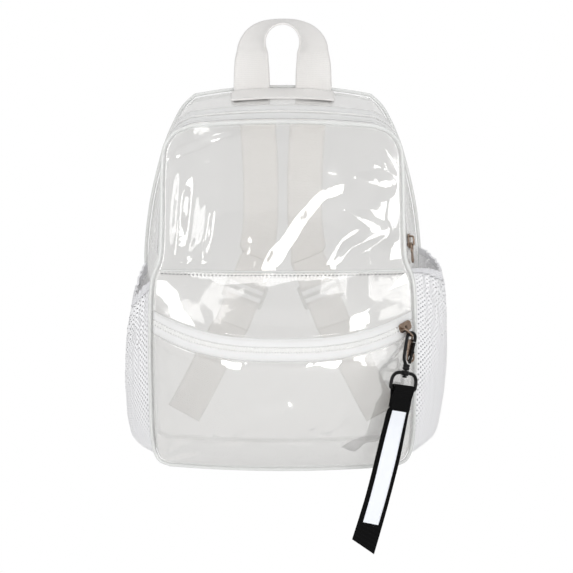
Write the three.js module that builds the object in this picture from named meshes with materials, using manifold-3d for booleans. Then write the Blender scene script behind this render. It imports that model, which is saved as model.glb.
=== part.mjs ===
// Clear vinyl day backpack with a zipped front pocket, two mesh side pockets, a webbing loop handle, flat
// shoulder straps and a snap-hook strap on the pocket zip. Millimetres, +Z up, the front faces -Y. The
// pieces are modelled with the back seam at y = 0 and the base corners at z = 0, and the whole group then
// moves so that the underside of the handle's crown, where the bag hangs, is the origin.
import * as THREE from "three";
import { mergeVertices } from "three/addons/utils/BufferGeometryUtils.js";
import Module from "manifold-3d";

const wasm = await Module();
wasm.setup();

// Sheet goods and clearances
const PVC = 0.8; // clear vinyl sheet
const GAP = 0.4; // between pieces that are sewn or threaded together
const WEBBING = 1.6; // woven webbing
const TAPE = 1.0; // zip tape
const MESH = 1.0; // knitted side-pocket mesh

// Body
const BACK_HEIGHT = 297;
const BACK_HALF = 113;
const FRONT_HEIGHT = 278;
const FRONT_INSET = 7; // the front seam lies this much inside the back seam on each side
const FRONT_HALF = BACK_HALF - FRONT_INSET;
const BASE_DEPTH = 84;
const BASE_SAG = 4;
const GUSSET_BULGE = 2.5;
const FRONT_BULGE = 7;
const BACK_BULGE = 3;
const PIPING_R = 1.5;
const PIPING_SIDES = 5;
const WIRE_SIDES = 6;

// Main zip, in the gusset behind the front seam, and the pocket zip
const ZIP_FROM_SEAM = 19;
const ZIP_TAPE_W = 8;
const ZIP_END = 0.5;
const COIL_W = 4.2;
const COIL_T = 1.5;
const POCKET_PUFF = 24;
const POCKET_TOP_Z = 161;
const POCKET_ZIP_Z = 102;
const POCKET_ZIP_RISE = 17;
const POCKET_EDGE = 0.994;

// Side pockets
const MESH_LOW = 0.09;
const MESH_LEFT_TOP = 0.41;
const MESH_RIGHT_TOP = 0.45;
const MESH_MOUTH_SAG = 0.04;
const MESH_LEFT_BULGE = 19;
const MESH_RIGHT_BULGE = 24;
const MESH_SIDE = 0.07;
const ELASTIC_W = 8;
const ELASTIC_T = 1.8;

// Handle
const HANDLE_W = 30;
const HANDLE_LEG_X = 25;
const HANDLE_LEG_H = 33;
const HANDLE_FROM_SEAM = 2;
const HANDLE_TAIL = 36;
const HANDLE_PATCH_W = 22;
const HANDLE_PATCH_HALF = 42;

// Shoulder straps
const STRAP_W = 30;
const STRAP_BOW = 38;
const STRAP_TAIL = 22;
const ADJUSTER_AT = 0.6;
const ADJUSTER_BAR = 3;
const ADJUSTER_T = 2.4;
const ADJUSTER_PITCH = 9;

// Zip sliders and their pullers
const SLIDER_L = 12;
const SLIDER_W = 8;
const SLIDER_PLATE = 1.1;
const SLIDER_GAP = 0.7;
const POST_R = 1.3;
const POST_X = 3;
const BAIL_R = 0.8;
const BAIL_SPAN = 7.6;
const TONGUE_ASIDE = 0.6;
const TONGUE_DROP = 8;
const PULLER_T = 1.5;
const PULLER_RIM = 1.3;
const POCKET_PULLER_L = 25;
const POCKET_PULLER_W = 7.6;
const POCKET_EYE_L = 2.4;
const POCKET_SLIDER_AT = 0.93;
const MAIN_PULLER_L = 17;
const MAIN_PULLER_W = 5;
const MAIN_EYE_L = 4.6;
const MAIN_SLIDER_UP = 2;

// Snap-hook strap
const HOOK_R = 1.35;
const HOOK_BEND_R = 4.2;
const HOOK_LEG = 21.6;
const HOOK_TIP = 3;
const HOOK_LEAN = 0.17;
const HOOK_STAND_OFF = 8;
const GATE_W = 1.8;
const GATE_GAP = 0.6;
const NECK_R = 3;
const NECK_H = 5;
const HEAD_H = 1.4;
const PIN_R = 1.1;
const BARREL_H = 4;
const RING_R = 1.3;
const RING_HALF = 12;
const RING_DROP = 13;
const LANYARD_W = 20;
const LANYARD_T = 1.6;
const LANYARD_L = 129;
const LANYARD_SLANT = 0.42;
const LANYARD_TAIL = 16;
const LANYARD_CLEAR = 3;
const RIBBON_W = 13;
const RIBBON_T = 0.7;

// The body's side edges, from the base to the top: how high and how far out each row lies on the back seam
// and on the front seam, and how deep the gusset is there, as shares of the heights, half-widths and base
// depth above.
const BODY_ROWS = [
  { backUp: 0.0, backOut: 0.87, frontUp: 0.0, frontOut: 0.87, deep: 1.0 },
  { backUp: 0.012, backOut: 0.93, frontUp: 0.012, frontOut: 0.94, deep: 1.0 },
  { backUp: 0.046, backOut: 0.96, frontUp: 0.05, frontOut: 0.98, deep: 1.0 },
  { backUp: 0.2, backOut: 0.97, frontUp: 0.22, frontOut: 1.0, deep: 1.0 },
  { backUp: 0.37, backOut: 0.98, frontUp: 0.4, frontOut: 1.0, deep: 0.98 },
  { backUp: 0.52, backOut: 1.0, frontUp: 0.55, frontOut: 0.98, deep: 0.95 },
  { backUp: 0.6, backOut: 0.985, frontUp: 0.607, frontOut: 0.925, deep: 0.92 },
  { backUp: 0.69, backOut: 0.95, frontUp: 0.69, frontOut: 0.91, deep: 0.885 },
  { backUp: 0.78, backOut: 0.895, frontUp: 0.79, frontOut: 0.905, deep: 0.85 },
  { backUp: 0.85, backOut: 0.84, frontUp: 0.87, frontOut: 0.9, deep: 0.82 },
  { backUp: 0.907, backOut: 0.775, frontUp: 0.935, frontOut: 0.88, deep: 0.8 },
  { backUp: 0.947, backOut: 0.715, frontUp: 0.971, frontOut: 0.81, deep: 0.78 },
  { backUp: 0.976, backOut: 0.64, frontUp: 0.988, frontOut: 0.7, deep: 0.765 },
];
const CROWN_FROM = 0.6; // the share of the side above which the crown of the top edge begins to show
const SAG_TO = 0.25; // the share of the side below which the sagging base shows

// How far each mesh pocket stands off the gusset on the way up, as shares of its own bulge
const MESH_ROWS = [
  { left: 0.02, right: 0.02 },
  { left: 0.5, right: 0.4 },
  { left: 0.82, right: 0.74 },
  { left: 0.96, right: 0.92 },
  { left: 1.0, right: 1.0 },
  { left: 0.92, right: 0.98 },
  { left: 0.76, right: 0.9 },
  { left: 0.5, right: 0.72 },
];

// Shoulder strap, from its top seam to the base corner: height and side are shares of the back panel, bow
// of STRAP_BOW
const STRAP_ROWS = [
  { up: 0.955, side: 0.19, bow: 0.015 },
  { up: 0.9, side: 0.185, bow: 0.04 },
  { up: 0.83, side: 0.175, bow: 0.3 },
  { up: 0.7, side: 0.165, bow: 0.8 },
  { up: 0.55, side: 0.18, bow: 1.0 },
  { up: 0.42, side: 0.26, bow: 0.95 },
  { up: 0.3, side: 0.4, bow: 0.76 },
  { up: 0.18, side: 0.57, bow: 0.42 },
  { up: 0.1, side: 0.69, bow: 0.06 },
  { up: 0.06, side: 0.75, bow: 0.0 },
];

// The snap-hook strap's fall below its ring: how far down its length, and how far it has drifted aside
const LANYARD_ROWS = [
  { down: 0.14, aside: 0.004 },
  { down: 0.25, aside: 0.012 },
  { down: 0.4, aside: 0.021 },
  { down: 0.55, aside: 0.032 },
  { down: 0.7, aside: 0.046 },
  { down: 0.85, aside: 0.064 },
  { down: 1.0, aside: 0.084 },
];

// Small helpers

const vec = (x, y, z) => new THREE.Vector3(x, y, z);
const lerp = (a, b, share) => a + (b - a) * share;
const spaced = (from, to, steps) => Array.from({ length: steps + 1 }, (_, i) => lerp(from, to, i / steps));

// A smooth curve through points whose parameter runs evenly from one point to the next
const smooth = (points) => new THREE.CatmullRomCurve3(points, false, "centripetal");

function closedGeometry(position, index) {
  const geometry = new THREE.BufferGeometry();
  geometry.setAttribute("position", new THREE.Float32BufferAttribute(position, 3));
  geometry.setIndex(index);
  return geometry;
}

// A solid through closed sections of equal length. Each section runs along one side and back along the
// other, so an end is closed by joining each point to the one opposite, and both sides are split along the
// same diagonals, which keeps a thin wall's thickness where it twists. A loop joins the last section to the
// first.
function loft(sections, loop = false) {
  const n = sections[0].length;
  const position = sections.flatMap((section) => section.flatMap((p) => [p.x, p.y, p.z]));
  const index = [];
  const quad = (a, b, c, d) => index.push(a, b, c, a, c, d);
  const spans = loop ? sections.length : sections.length - 1;
  for (let i = 0; i < spans; i++) {
    const here = i * n;
    const next = ((i + 1) % sections.length) * n;
    for (let j = 0; j < n; j++) {
      const k = (j + 1) % n;
      if (j < n / 2) quad(here + j, here + k, next + k, next + j);
      else quad(here + k, next + k, next + j, here + j);
    }
  }
  if (!loop) {
    const end = (sections.length - 1) * n;
    for (let j = 0; j < n / 2 - 1; j++) {
      quad(j, n - 1 - j, n - 2 - j, j + 1);
      quad(end + j, end + j + 1, end + n - 2 - j, end + n - 1 - j);
    }
  }
  return facingOut(position, index);
}

function facingOut(position, index) {
  let volume = 0;
  const corner = (i) => vec(position[3 * i], position[3 * i + 1], position[3 * i + 2]);
  for (let i = 0; i < index.length; i += 3) {
    const [a, b, c] = [corner(index[i]), corner(index[i + 1]), corner(index[i + 2])];
    volume += a.dot(b.cross(c));
  }
  if (volume < 0) {
    for (let i = 0; i < index.length; i += 3) {
      [index[i + 1], index[i + 2]] = [index[i + 2], index[i + 1]];
    }
  }
  return closedGeometry(position, index);
}

// The unit normal of surface(a, b), on the side that a crossed with b points to
function normalAt(surface, a, b) {
  const e = 1e-3;
  const along = surface(a + e, b).sub(surface(a - e, b));
  const across = surface(a, b + e).sub(surface(a, b - e));
  return along.cross(across).normalize();
}

// A sheet whose middle follows surface(a, b), moved off it by lift along the normal. An entry of bs may be
// a function of a, for an edge that isn't a line of equal b.
function sheet(surface, as, bs, thickness, lift = 0) {
  const sections = as.map((a) => {
    const side = (offset) =>
      bs.map((entry) => {
        const b = typeof entry === "function" ? entry(a) : entry;
        return surface(a, b).addScaledVector(normalAt(surface, a, b), lift + offset);
      });
    return [...side(thickness / 2), ...side(-thickness / 2).reverse()];
  });
  return loft(sections);
}

// A flat tape of the given width and thickness. frames holds its centres, width directions and face
// normals.
function tape(frames, width, thickness) {
  return loft(
    frames.map(({ at, across, face }) => {
      const corner = (w, t) => {
        const aside = at.clone().addScaledVector(across, (w * width) / 2);
        return aside.addScaledVector(face, (t * thickness) / 2);
      };
      return [corner(-1, 1), corner(0, 1), corner(1, 1), corner(1, -1), corner(0, -1), corner(-1, -1)];
    }),
  );
}

// A round wire bent through points that lie in the plane square to normal, mitred at each of them
function wire(points, normal, radius) {
  const ring = spaced(0, 2 * Math.PI * (1 - 1 / WIRE_SIDES), WIRE_SIDES - 1);
  const sections = points.map((at, i) => {
    const before = at.clone().sub(points[Math.max(0, i - 1)]);
    const after = points[Math.min(points.length - 1, i + 1)].clone().sub(at);
    const into = (before.lengthSq() > 0 ? before : after.clone()).normalize();
    const along = into.clone().add(after.lengthSq() > 0 ? after.normalize() : into).normalize();
    const side = along.clone().cross(normal).multiplyScalar(radius / along.dot(into));
    return ring.map((angle) =>
      at.clone().addScaledVector(side, Math.cos(angle)).addScaledVector(normal, radius * Math.sin(angle)),
    );
  });
  return loft(sections);
}

// The corners of a bent wire, each but the ends rounded off over the given length
function rounded(corners, length) {
  const inner = corners.slice(1, -1).flatMap((corner, i) => {
    const towards = (other) => corner.clone().add(other.clone().sub(corner).setLength(length));
    const bend = new THREE.QuadraticBezierCurve3(towards(corners[i]), corner, towards(corners[i + 2]));
    return bend.getPoints(3);
  });
  return [corners[0], ...inner, corners[corners.length - 1]];
}

// A flat plate of the given outline, half of its thickness to each side of z = 0
function plate(outline, thickness, curveSegments = 4) {
  const geometry = new THREE.ExtrudeGeometry(outline, { depth: thickness, bevelEnabled: false, curveSegments });
  return geometry.translate(0, 0, -thickness / 2);
}

function roundedRect(Shape, width, height, radius, cx = 0, cy = 0) {
  const [x, y] = [width / 2, height / 2];
  const path = new Shape();
  path.moveTo(cx - x + radius, cy - y);
  path.lineTo(cx + x - radius, cy - y);
  path.absarc(cx + x - radius, cy - y + radius, radius, -Math.PI / 2, 0);
  path.lineTo(cx + x, cy + y - radius);
  path.absarc(cx + x - radius, cy + y - radius, radius, 0, Math.PI / 2);
  path.lineTo(cx - x + radius, cy + y);
  path.absarc(cx - x + radius, cy + y - radius, radius, Math.PI / 2, Math.PI);
  path.lineTo(cx - x, cy - y + radius);
  path.absarc(cx - x + radius, cy - y + radius, radius, Math.PI, 1.5 * Math.PI);
  return path;
}

// Solids for the joins

function solidOf(geometry) {
  const bare = geometry.clone();
  bare.deleteAttribute("normal");
  bare.deleteAttribute("uv");
  const merged = mergeVertices(bare, 1e-4);
  return new wasm.Manifold(
    new wasm.Mesh({
      numProp: 3,
      vertProperties: new Float32Array(merged.attributes.position.array),
      triVerts: new Uint32Array(merged.index.array),
    }),
  );
}

function geometryOf(solid) {
  const mesh = solid.getMesh();
  const position = [];
  for (let i = 0; i < mesh.numVert; i++) {
    position.push(...mesh.vertProperties.slice(i * mesh.numProp, i * mesh.numProp + 3));
  }
  return closedGeometry(position, Array.from(mesh.triVerts));
}

const joined = (...geometries) => geometryOf(geometries.map(solidOf).reduce((all, one) => all.add(one)));

// Body surfaces

const rowCurve = (up, out, height, half) =>
  smooth(BODY_ROWS.map((row) => vec(row[out] * half, -row.deep * BASE_DEPTH, row[up] * height)));
const BACK_SIDE = rowCurve("backUp", "backOut", BACK_HEIGHT, BACK_HALF);
const FRONT_SIDE = rowCurve("frontUp", "frontOut", FRONT_HEIGHT, FRONT_HALF);
const LAST_ROW = BODY_ROWS[BODY_ROWS.length - 1];
const BACK_CROWN = BACK_HEIGHT * (1 - LAST_ROW.backUp);
const FRONT_CROWN = FRONT_HEIGHT * (1 - LAST_ROW.frontUp);
const inside01 = (t) => Math.min(1, Math.max(0, t));

// How far the middle of a row lies above its ends: the crowned top edge and the sagging base
function rise(t, crown) {
  const top = Math.max(0, (t - CROWN_FROM) / (1 - CROWN_FROM)) ** 2;
  const base = Math.max(0, 1 - t / SAG_TO) ** 2;
  return crown * top - BASE_SAG * base;
}

// A point of the back seam's plane and of the front seam's: u runs from -1 at the left edge to 1, t from
// base to top
function backEdge(u, t) {
  const side = BACK_SIDE.getPoint(inside01(t));
  return vec(u * side.x, 0, side.z + rise(t, BACK_CROWN) * (1 - u * u));
}

function frontEdge(u, t) {
  const side = FRONT_SIDE.getPoint(inside01(t));
  return vec(u * side.x, side.y, side.z + rise(t, FRONT_CROWN) * (1 - u * u));
}

// How far a panel swells between its seams, as a share: none at the edges, all of it in the middle
function belly(side, u, t) {
  const up = side.getPoint(inside01(t)).z / side.getPoint(1).z;
  return (1 - u * u) * 4 * up * (1 - up);
}

// The share of the side, from base to top, at which its edge reaches a height
function shareAt(side, z) {
  let [low, high] = [0, 1];
  while (high - low > 1e-5) {
    const middle = (low + high) / 2;
    if (side.getPoint(middle).z < z) low = middle;
    else high = middle;
  }
  return (low + high) / 2;
}

const backPanelAt = (t, u) => backEdge(u, t).add(vec(0, BACK_BULGE * belly(BACK_SIDE, u, t), 0));
const frontPanelAt = (u, t) => frontEdge(u, t).add(vec(0, -FRONT_BULGE * belly(FRONT_SIDE, u, t), 0));

// The seams run once round the bag as s goes from 0 to 6: half the base, the right side, the top, the left
// side and the other half of the base.
const BASE_END = 1;
const RIGHT_END = 2;
const TOP_END = 4;
const LEFT_END = 5;
const ROUND = 6;

function seamAt(s) {
  const turn = ((s % ROUND) + ROUND) % ROUND;
  if (turn < BASE_END) return { u: turn, t: 0 };
  if (turn < RIGHT_END) return { u: 1, t: turn - BASE_END };
  if (turn < TOP_END) return { u: 1 - (turn - RIGHT_END), t: 1 };
  if (turn < LEFT_END) return { u: -1, t: LEFT_END - turn };
  return { u: turn - ROUND, t: 0 };
}

function seamPoint(edge, s) {
  const { u, t } = seamAt(s);
  return edge(u, t);
}

// The direction that points out of the bag, square to the seams, in the upright plane
function outward(s) {
  const e = 0.02;
  const along = seamPoint(backEdge, s + e).add(seamPoint(frontEdge, s + e));
  along.sub(seamPoint(backEdge, s - e)).sub(seamPoint(frontEdge, s - e));
  return vec(along.z, 0, -along.x).normalize();
}

// A point of the gusset: w runs from 0 at the back seam to 1 at the front seam
function gussetAt(s, w) {
  const point = seamPoint(backEdge, s).lerp(seamPoint(frontEdge, s), w);
  return point.addScaledVector(outward(s), GUSSET_BULGE * Math.sin(Math.PI * inside01(w)));
}

const depthAt = (s) => -seamPoint(frontEdge, s).y;

// The same surface measured in millimetres from the front seam, where b is negative, or from the back seam
const gussetFromFront = (s, b) => gussetAt(s, 1 + b / depthAt(s));
const gussetFromBack = (s, b) => gussetAt(s, b / depthAt(s));

const SIDE_STEPS = 16;
const SEAM_STATIONS = [
  ...spaced(0, BASE_END, 3),
  ...spaced(BASE_END, RIGHT_END, SIDE_STEPS).slice(1),
  ...spaced(RIGHT_END, TOP_END, 8).slice(1),
  ...spaced(TOP_END, LEFT_END, SIDE_STEPS).slice(1),
  ...spaced(LEFT_END, ROUND, 3).slice(1, -1),
];

function stations(from, to, marks = []) {
  const all = [...SEAM_STATIONS, ...SEAM_STATIONS.map((s) => s + ROUND)];
  const apart = 0.004;
  const fixed = [from, ...marks, to];
  const between = all.filter((s) => s > from && s < to && fixed.every((mark) => Math.abs(s - mark) > apart));
  return [...fixed, ...between].sort((a, b) => a - b);
}

const ROWS_UP = spaced(0, 1, SIDE_STEPS);
const COLUMNS = spaced(-1, 1, 10);

// Named pieces and their finishes

const bag = new THREE.Group();

const FINISHES = {
  clear_vinyl: { color: 0xe4e6e4, roughness: 0.08, metalness: 0, transparent: true, opacity: 0.35 },
  vinyl_piping: { color: 0xeceeec, roughness: 0.2, metalness: 0, transparent: true, opacity: 0.7 },
  white_webbing: { color: 0xe9e6e1, roughness: 0.85, metalness: 0 },
  zip_tape: { color: 0xf4f4f2, roughness: 0.8, metalness: 0 },
  zip_coil: { color: 0xe6e6df, roughness: 0.45, metalness: 0 },
  white_mesh: { color: 0xeeeef4, roughness: 0.9, metalness: 0, transparent: true, opacity: 0.75 },
  adjuster: { color: 0xf0f0ee, roughness: 0.35, metalness: 0 },
  gunmetal: { color: 0x6a5a4c, roughness: 0.25, metalness: 1 },
  black_metal: { color: 0x0c0c0d, roughness: 0.35, metalness: 0.6 },
  black_webbing: { color: 0x0a0a0b, roughness: 0.85, metalness: 0 },
  white_ribbon: { color: 0xf3f4f7, roughness: 0.6, metalness: 0 },
};

function piece(name, geometry, finish, group = bag) {
  const mesh = new THREE.Mesh(geometry, new THREE.MeshStandardMaterial(FINISHES[finish]));
  mesh.name = name;
  group.add(mesh);
  return mesh;
}

// Main compartment: the back and front panels close the two sides of the gusset

piece("back_panel", sheet(backPanelAt, ROWS_UP, COLUMNS, PVC, PVC / 2 + GAP), "clear_vinyl");
piece("front_panel", sheet(frontPanelAt, COLUMNS, ROWS_UP, PVC, PVC / 2 + GAP), "clear_vinyl");

// The zip crosses the top and comes down both sides. Below its ends the gusset is one strip.

const ZIP_RIGHT = BASE_END + ZIP_END;
const ZIP_LEFT = LEFT_END - ZIP_END;
const END_GAP = GAP / BACK_HEIGHT;
const COIL_EDGE = COIL_W / 2;
const TAPE_EDGE = COIL_EDGE + GAP + ZIP_TAPE_W;
const upperStations = stations(ZIP_RIGHT + END_GAP, ZIP_LEFT - END_GAP);
const lowerStations = stations(ZIP_LEFT + END_GAP, ZIP_RIGHT + ROUND - END_GAP);

const atBackSeam = (s) => GAP / depthAt(s);
const atFrontSeam = (s) => 1 - GAP / depthAt(s);
const lowerWidths = [atBackSeam, 0.33, 0.67, atFrontSeam];
piece("gusset_lower", sheet(gussetAt, lowerStations, lowerWidths, PVC), "clear_vinyl");

const gussetStrip = (far, near, thickness) => sheet(gussetFromFront, upperStations, [far, near], thickness);
const frontStrip = gussetStrip(TAPE_EDGE + GAP - ZIP_FROM_SEAM, -GAP, PVC);
const tapeFront = gussetStrip(COIL_EDGE + GAP - ZIP_FROM_SEAM, TAPE_EDGE - ZIP_FROM_SEAM, TAPE);
const tapeBack = gussetStrip(-COIL_EDGE - GAP - ZIP_FROM_SEAM, -TAPE_EDGE - ZIP_FROM_SEAM, TAPE);
piece("gusset_upper_front", frontStrip, "clear_vinyl");
piece("main_zip_tape_front", tapeFront, "zip_tape");
piece("main_zip_tape_back", tapeBack, "zip_tape");

// Handle: one webbing tape. Its ends lie under the gusset and come up just in front of the back seam, and
// the loop turns its face from the front at the legs to the sky at the crown.

const FRONT = vec(0, -1, 0);
const UP = vec(0, 0, 1);
const topStation = (x) => RIGHT_END + 1 - x / BACK_SIDE.getPoint(1).x;
const gussetTop = (x, fromBack) => gussetFromBack(topStation(x), fromBack);
const legBase = gussetTop(HANDLE_LEG_X, HANDLE_FROM_SEAM).z;
const archZ = legBase + HANDLE_LEG_H;

// A tape's cross direction follows from the way it runs and the way it faces
function ribbonFrame(at, along, face) {
  const across = along.clone().cross(face).normalize();
  return { at, across, face: across.clone().cross(along).normalize() };
}

function handleFrames() {
  const under = PVC / 2 + GAP + WEBBING / 2;
  const buried = (sign, fromBack, lower, along, face) => {
    const inner = gussetTop(sign * (HANDLE_LEG_X - HANDLE_W / 2), fromBack);
    const outer = gussetTop(sign * (HANDLE_LEG_X + HANDLE_W / 2), fromBack);
    const across = (sign < 0 ? inner.clone().sub(outer) : outer.clone().sub(inner)).normalize();
    const ahead = gussetTop(sign * HANDLE_LEG_X, fromBack + WEBBING);
    const down = ahead.sub(gussetTop(sign * HANDLE_LEG_X, fromBack)).cross(across).normalize();
    const at = inner.add(outer).multiplyScalar(0.5).addScaledVector(down, under + lower);
    return { at, across: across.multiplyScalar(-sign), face: face ?? down.negate() };
  };
  const tailEnd = (sign) => {
    const past = HANDLE_FROM_SEAM + 2 * WEBBING;
    const steps = [1, 0.66, 0.33].map((share) => buried(sign, share * HANDLE_TAIL, 0));
    const turned = buried(sign, HANDLE_FROM_SEAM + WEBBING / 2, WEBBING * 0.56);
    turned.face.add(FRONT).normalize();
    return [...steps, buried(sign, past, 0), turned];
  };
  const leg = (sign, z) => ribbonFrame(vec(sign * HANDLE_LEG_X, -HANDLE_FROM_SEAM, z), vec(0, 0, -sign), FRONT);
  const arch = (angle) => {
    const out = vec(-Math.cos(angle), 0, Math.sin(angle));
    const turn = (Math.PI / 2) * Math.sin(angle) ** 0.8;
    const face = FRONT.clone().multiplyScalar(Math.cos(turn)).addScaledVector(out, Math.sin(turn));
    const at = vec(0, -HANDLE_FROM_SEAM, archZ).addScaledVector(out, HANDLE_LEG_X);
    return ribbonFrame(at, vec(Math.sin(angle), 0, Math.cos(angle)), face);
  };
  const heights = [legBase + WEBBING * 0.625, legBase + HANDLE_LEG_H / 2];
  return [
    ...tailEnd(-1),
    ...heights.map((z) => leg(-1, z)),
    ...spaced(0, Math.PI, 22).map(arch),
    ...heights.reverse().map((z) => leg(1, z)),
    ...tailEnd(1).reverse(),
  ];
}

piece("handle", tape(handleFrames(), HANDLE_W, WEBBING), "white_webbing");

// The strip behind the zip is notched along the back seam, where the handle's legs come up
const notchHalf = HANDLE_W / 2 + 2 * GAP;
const notchDeep = HANDLE_FROM_SEAM + WEBBING / 2 + GAP;
const notchSides = [-1, 1].flatMap((sign) => [-1, 1].map((way) => sign * HANDLE_LEG_X + way * notchHalf));
const notchStations = notchSides.flatMap((x) => [topStation(x - GAP / 2), topStation(x + GAP / 2)]);
const behindLeg = (s) => Math.abs(Math.abs(gussetFromBack(s, 0).x) - HANDLE_LEG_X) < notchHalf;
const stripBack = (s) => (behindLeg(s) ? notchDeep : GAP) - depthAt(s);
const notched = stations(ZIP_RIGHT + END_GAP, ZIP_LEFT - END_GAP, notchStations);
const stripFront = -TAPE_EDGE - GAP - ZIP_FROM_SEAM;
const stripRows = spaced(0, 1, 3).map((share) => (s) => lerp(stripBack(s), stripFront, share));
const backStrip = sheet(gussetFromFront, notched, stripRows, PVC);
piece("gusset_upper_back", backStrip, "clear_vinyl");

// A band across the gusset in front of the legs covers the seam that holds the handle's ends
const patchNear = HANDLE_FROM_SEAM + WEBBING / 2 + GAP;
const patchStations = spaced(topStation(HANDLE_PATCH_HALF), topStation(-HANDLE_PATCH_HALF), 10);
const patchRows = spaced(patchNear, patchNear + HANDLE_PATCH_W, 2);
const patchLift = PVC / 2 + GAP + WEBBING / 2;
piece("handle_patch", sheet(gussetFromBack, patchStations, patchRows, WEBBING, patchLift), "white_webbing");

// Front pocket: u runs across it, and h from the base seam to the top seam. Its side edges follow the front
// seam.

function puffShare(u, h) {
  const across = Math.max(0, 1 - Math.abs(u) ** 3.4);
  const up = Math.max(0, 1 - Math.abs(2 * inside01(h) ** 0.8 - 1) ** 3);
  return across * up;
}

const POCKET_STAND_OFF = 2 * PVC + 3 * GAP;
function pocketAt(u, h) {
  const panel = frontPanelAt(u, shareAt(FRONT_SIDE, h * POCKET_TOP_Z));
  return panel.add(vec(0, -POCKET_STAND_OFF - POCKET_PUFF * puffShare(u, h), 0));
}

// The zip sags across the pocket. fromZip gives the height share that lies so many millimetres above it.
const zipZ = (u) => POCKET_ZIP_Z + POCKET_ZIP_RISE * Math.abs(u) ** 2.6;
const fromZip = (mm) => (u) => (zipZ(u) + mm) / POCKET_TOP_Z;
const pocketColumns = spaced(-1, 1, 16).map((u) => u * POCKET_EDGE);
const lowerRows = [0, 0.03, 0.08, 0.16, 0.28, 0.45, 0.7, 1].map(
  (share) => (u) => share * fromZip(-TAPE_EDGE - GAP)(u),
);
const upperRows = spaced(0, 1, 4).map((share) => (u) => lerp(fromZip(TAPE_EDGE + GAP)(u), 1, share));
const pocketStrip = (low, high) => sheet(pocketAt, pocketColumns, [fromZip(low), fromZip(high)], TAPE);
piece("pocket_lower_panel", sheet(pocketAt, pocketColumns, lowerRows, PVC), "clear_vinyl");
piece("pocket_upper_panel", sheet(pocketAt, pocketColumns, upperRows, PVC), "clear_vinyl");
piece("pocket_zip_tape_lower", pocketStrip(-TAPE_EDGE, -COIL_EDGE - GAP), "zip_tape");
piece("pocket_zip_tape_upper", pocketStrip(COIL_EDGE + GAP, TAPE_EDGE), "zip_tape");

// Piping: a corded bead that stands just outside each seam, all the way round

function piping(edge, forward) {
  const sections = SEAM_STATIONS.map((s) => {
    const out = outward(s);
    const at = seamPoint(edge, s).addScaledVector(out, PVC / 2 + GAP + PIPING_R).add(vec(0, forward, 0));
    return spaced(0, 2 * Math.PI * (1 - 1 / PIPING_SIDES), PIPING_SIDES - 1).map((angle) => {
      const round = out.clone().multiplyScalar(PIPING_R * Math.cos(angle));
      return at.clone().add(round).add(vec(0, PIPING_R * Math.sin(angle), 0));
    });
  });
  return loft(sections, true);
}

piece("front_piping", piping(frontEdge, -PVC / 2 - GAP), "vinyl_piping");
piece("back_piping", piping(backEdge, PVC / 2 + GAP), "vinyl_piping");

// Mesh side pockets: sewn to the gusset along the base and near both seams, open along the top, where an
// elastic band draws them in. p runs from the base to the mouth.

const MESH_COLUMNS = spaced(MESH_SIDE, 1 - MESH_SIDE, 8);

for (const { side, high, bulge, stationOf } of [
  { side: "left", high: MESH_LEFT_TOP, bulge: MESH_LEFT_BULGE, stationOf: (t) => LEFT_END - t },
  { side: "right", high: MESH_RIGHT_TOP, bulge: MESH_RIGHT_BULGE, stationOf: (t) => BASE_END + t },
]) {
  const swell = smooth(MESH_ROWS.map((row) => vec(0, row[side], 0)));
  const wall = (p, w) => {
    const across = Math.sin(Math.PI * inside01((w - MESH_SIDE) / (1 - 2 * MESH_SIDE)));
    const mouth = high - MESH_MOUTH_SAG * across;
    const s = stationOf(lerp(MESH_LOW, mouth, p));
    const off = PVC / 2 + GAP + ELASTIC_T / 2 + bulge * across ** 0.8 * swell.getPoint(inside01(p)).y;
    return gussetAt(s, w).addScaledVector(outward(s), off);
  };
  const tall = wall(0, MESH_SIDE).distanceTo(wall(1, MESH_SIDE));
  const rim = 1 - ELASTIC_W / tall;
  piece(`mesh_pocket_${side}`, sheet(wall, spaced(0, rim, 9), MESH_COLUMNS, MESH), "white_mesh");
  const elastic = sheet(wall, [rim + GAP / tall, 1], MESH_COLUMNS, ELASTIC_T);
  piece(`pocket_elastic_${side}`, elastic, "white_webbing");
}

// Zip coils and sliders. A slider's plates lie over and under the zip, joined by the post that parts the
// coils, and a bail stands on the upper plate, with one leg on a tongue of it from which things hang. In its
// own frame x runs along the zip to the closed end and z off the bag.

const PLATE_OFF = COIL_T / 2 + SLIDER_GAP + SLIDER_PLATE / 2;
const BAIL_FOOT = PLATE_OFF + SLIDER_PLATE / 2;
const BAIL_LEG = BAIL_SPAN / 2;

function sliderGeometry(rise, hangX, hangY) {
  const outline = roundedRect(THREE.Shape, SLIDER_L, SLIDER_W, SLIDER_W * 0.3);
  const leaf = (z) => plate(outline, SLIDER_PLATE, 3).translate(0, 0, z);
  const post = new THREE.CylinderGeometry(POST_R, POST_R, 2 * PLATE_OFF, 10);
  const top = BAIL_FOOT + rise;
  const left = [vec(-BAIL_LEG, 0, PLATE_OFF), vec(-BAIL_LEG, 0, top)];
  const right = [vec(hangX, hangY, top), vec(hangX, hangY, PLATE_OFF)];
  const square = vec(-hangY, hangX + BAIL_LEG, 0).normalize();
  const bail = wire(rounded([...left, ...right], BAIL_R * 1.6), square, BAIL_R);
  const tongueW = 2 * BAIL_R + SLIDER_PLATE;
  const tongue = roundedRect(THREE.Shape, tongueW, -hangY + tongueW, tongueW * 0.4, hangX, hangY / 2);
  const body = [leaf(PLATE_OFF), leaf(-PLATE_OFF), post.rotateX(Math.PI / 2).translate(POST_X, 0, 0), bail];
  return joined(...body, plate(tongue, SLIDER_PLATE, 3).translate(0, 0, PLATE_OFF));
}

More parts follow.
